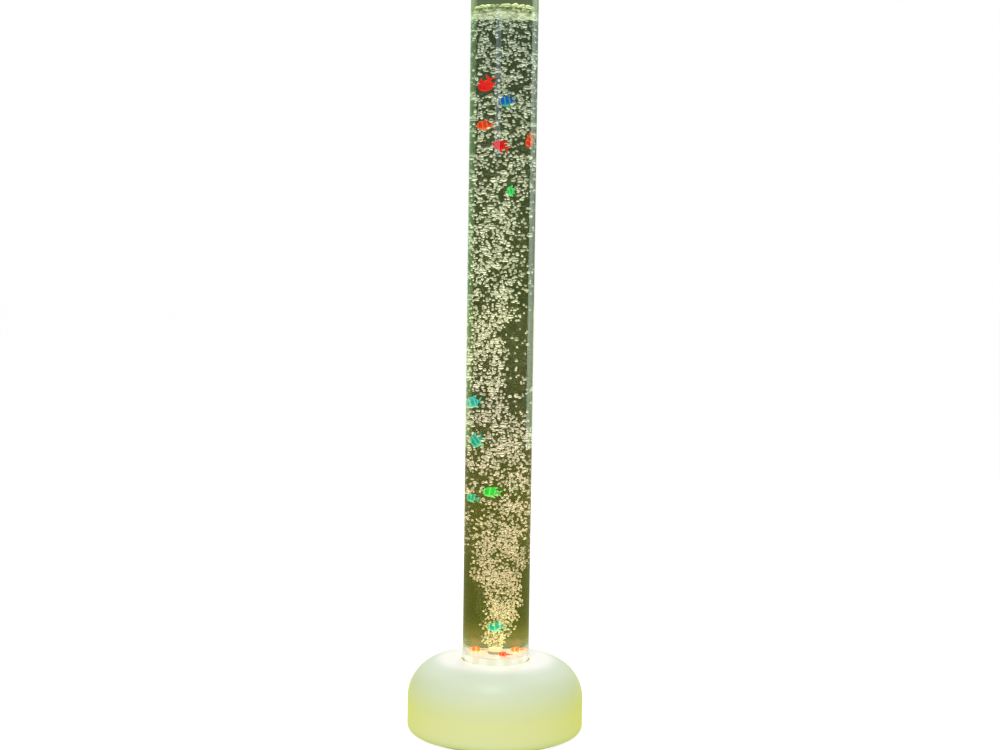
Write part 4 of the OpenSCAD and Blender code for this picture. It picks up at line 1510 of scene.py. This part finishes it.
def tall_panel(name: str, spot: tuple[float, float], width: float, radiance: float, tint: str) -> Softbox:
    """Returns a tall light round the tube's back, level with its middle, which only the tube mirrors."""
    middle, tall = 0.95, 1.4
    return Softbox(name, (*spot, middle), (0, 0, middle), (width, tall), radiance, tint, clear_only=True)


@dataclass
class Studio:
    """A white studio: the camera sees white paper, and the lamp sees a dim room and a few softboxes."""

    focal_px: float = 1673.0
    distance: float = 2.5
    height: float = 0.72
    pitch: float = 4.06
    roll: float = 0.82
    axis_px: float = 499.6  # the tube's axis in the photograph's middle row
    sensor_mm: float = 36.0
    paper: str = "#FFFFFF"
    room: str = "#949768"
    studio: str = "#5C5E56"
    floor_shine: str = "#B0AE7C"
    ambient: str = "#7E807C"
    floor_size: float = 40.0
    card: tuple[float, float, float, float] = (1.295, 2.0, 0.5, 1.5)  # lower, upper, half width, place
    card_colour: str = "#5C6B50"
    boxes: tuple[Softbox, ...] = (
        Softbox("top_softbox", (-0.16, -0.85, 2.1), (0, -0.1, 0.1), (0.35, 0.30), 24.0),
        Softbox("front_key", (-0.3, -2.0, 1.9), (0, 0, 0.1), (0.8, 0.8), 16.5, matt=True, shines=False),
        Softbox("back_key", (0.3, 2.0, 1.9), (0, 0, 0.1), (0.8, 0.8), 16.5, matt=True, shines=False),
        Softbox("front_strip", (-0.80, -2.30, 1.215), (0, 0, 0.96), (0.80, 0.42), 4.0, "#B0C0D4"),
        tall_panel("right_panel", (1.438, 0.701), 0.51, 3.6, "#C6D8CE"),
        tall_panel("back_right_panel", (1.18, 1.08), 0.42, 2.0, "#C0D8C4"),
        tall_panel("back_panel", (0.612, 1.478), 1.00, 0.8, "#B4D0A8"),
        tall_panel("left_panel", (-1.357, 0.848), 0.86, 1.5, "#A4DC94"),
        tall_panel("back_left_panel", (-0.714, 1.432), 0.95, 1.1, "#A4DC94"),
    )

    def camera(self) -> None:
        """Places the camera where the photograph was taken from, with its slight roll."""
        data = bpy.data.cameras.new("photo_camera")
        data.sensor_width = self.sensor_mm
        data.lens = self.focal_px * self.sensor_mm / PHOTO_SIZE[0]
        data.clip_end = 100.0
        view = bpy.data.objects.new("photo_camera", data)
        bpy.context.scene.collection.objects.link(view)
        side = (PHOTO_SIZE[0] / 2 - self.axis_px) / self.focal_px * self.distance
        turn = Matrix.Rotation(math.radians(90 - self.pitch), 4, "X") @ Matrix.Rotation(
            math.radians(self.roll), 4, "Z"
        )
        view.matrix_world = Matrix.Translation((side, -self.distance, self.height)) @ turn
        bpy.context.scene.camera = view

    def split_by_ray(self, tree: Tree, kind: str, seen: Socket, shine: str) -> Socket:
        """Gives camera rays one look, and matt, clear and shining surfaces their own rooms.

        Args:
            tree: the node tree of the world or of the floor.
            kind: the node that glows there, Background or Emission.
            seen: the shader for camera rays.
            shine: the colour that shining surfaces mirror.

        Returns:
            The mixed shader's socket.
        """
        mixed = add_node(tree, kind, 0, {"Color": shine})
        room = add_node(tree, kind, 0, {"Color": self.room})
        matt = add_node(tree, kind, 0, {"Color": self.ambient})
        for ray, look in (("Transmission", room), ("Diffuse", matt), ("Camera", seen)):
            share = add_node(tree, "LightPath", f"Is {ray} Ray")
            mixed = add_node(tree, "MixShader", "Shader", {0: share, 1: mixed, 2: look})
        return mixed

    def world(self) -> None:
        """Makes the white background and the dim room."""
        world = bpy.data.worlds.new("studio_world")
        tree, surface = blank_tree(world, "OutputWorld")
        seen = add_node(tree, "Background", "Background", {"Color": self.paper})
        tree.links.new(self.split_by_ray(tree, "Background", seen, self.studio), surface)
        bpy.context.scene.world = world

    def sheet(self, name: str, corners: Sequence[Point]) -> tuple[Object, Tree, Socket]:
        """Makes a flat, four-cornered piece of the stage.

        Args:
            name: the name of the piece and of its material.
            corners: its corners.

        Returns:
            The piece, its material's empty tree and the input that takes its surface.
        """
        material = bpy.data.materials.new(name)
        form = Form(np.array(corners, float), np.array([[0, 1, 2, 3]]), NO_TRIS)
        piece = form.to_object(name, material)
        return piece, *blank_tree(material, "OutputMaterial")

    def floor(self) -> None:
        """Makes the plain pale floor, which holds a faint shadow under the lamp."""
        half = self.floor_size / 2
        corners = [(-half, -half, 0), (half, -half, 0), (half, half, 0), (-half, half, 0)]
        _, tree, surface = self.sheet("paper_floor", corners)
        paper = add_node(tree, "BsdfDiffuse", "BSDF", {"Color": (0.35, 0.35, 0.35, 1.0)})
        glow = add_node(tree, "Emission", "Emission", {"Color": self.paper, "Strength": 0.92})
        seen = add_node(tree, "AddShader", "Shader", {0: paper, 1: glow})
        tree.links.new(self.split_by_ray(tree, "Emission", seen, self.floor_shine), surface)

    def dusk(self) -> None:
        """Makes the dim card that stands behind the tube's dry top, seen only through the tube."""
        low, high, half, y = self.card
        corners = [(-half, y, low), (half, y, low), (half, y, high), (-half, y, high)]
        card, tree, surface = self.sheet("dim_card", corners)
        tree.links.new(add_node(tree, "Emission", "Emission", {"Color": self.card_colour}), surface)
        for ray in ("camera", "diffuse", "glossy", "shadow"):
            setattr(card, "visible_" + ray, False)

    def build(self) -> None:
        """Makes the camera, the world, the floor and the card."""
        self.camera()
        self.world()
        self.floor()
        self.dusk()
        bpy.context.scene.view_settings.view_transform = "Standard"

    def light(self, clear: Sequence[Object]) -> None:
        """Makes the lights.

        Args:
            clear: the pieces that mirror the tall panels.
        """
        mirrors = bpy.data.collections.new("mirrors_of_the_panels")
        for piece in clear:
            mirrors.objects.link(piece)
        for box in self.boxes:
            box.build(mirrors)


def write_sizes() -> None:
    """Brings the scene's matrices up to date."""
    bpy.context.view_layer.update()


def main() -> None:
    """Builds the lamp in its studio, the camera first, and reports each piece."""
    logging.basicConfig(level=logging.INFO, format="%(name)s: %(message)s")
    studio = Studio()
    studio.build()
    tube = ClearTube().build()
    water = WaterColumn().build()
    studio.light([tube, water])
    Bellows().build()
    Shoal().build()
    PackedPieces().build()
    write_sizes()


if __name__ == "__main__":
    main()
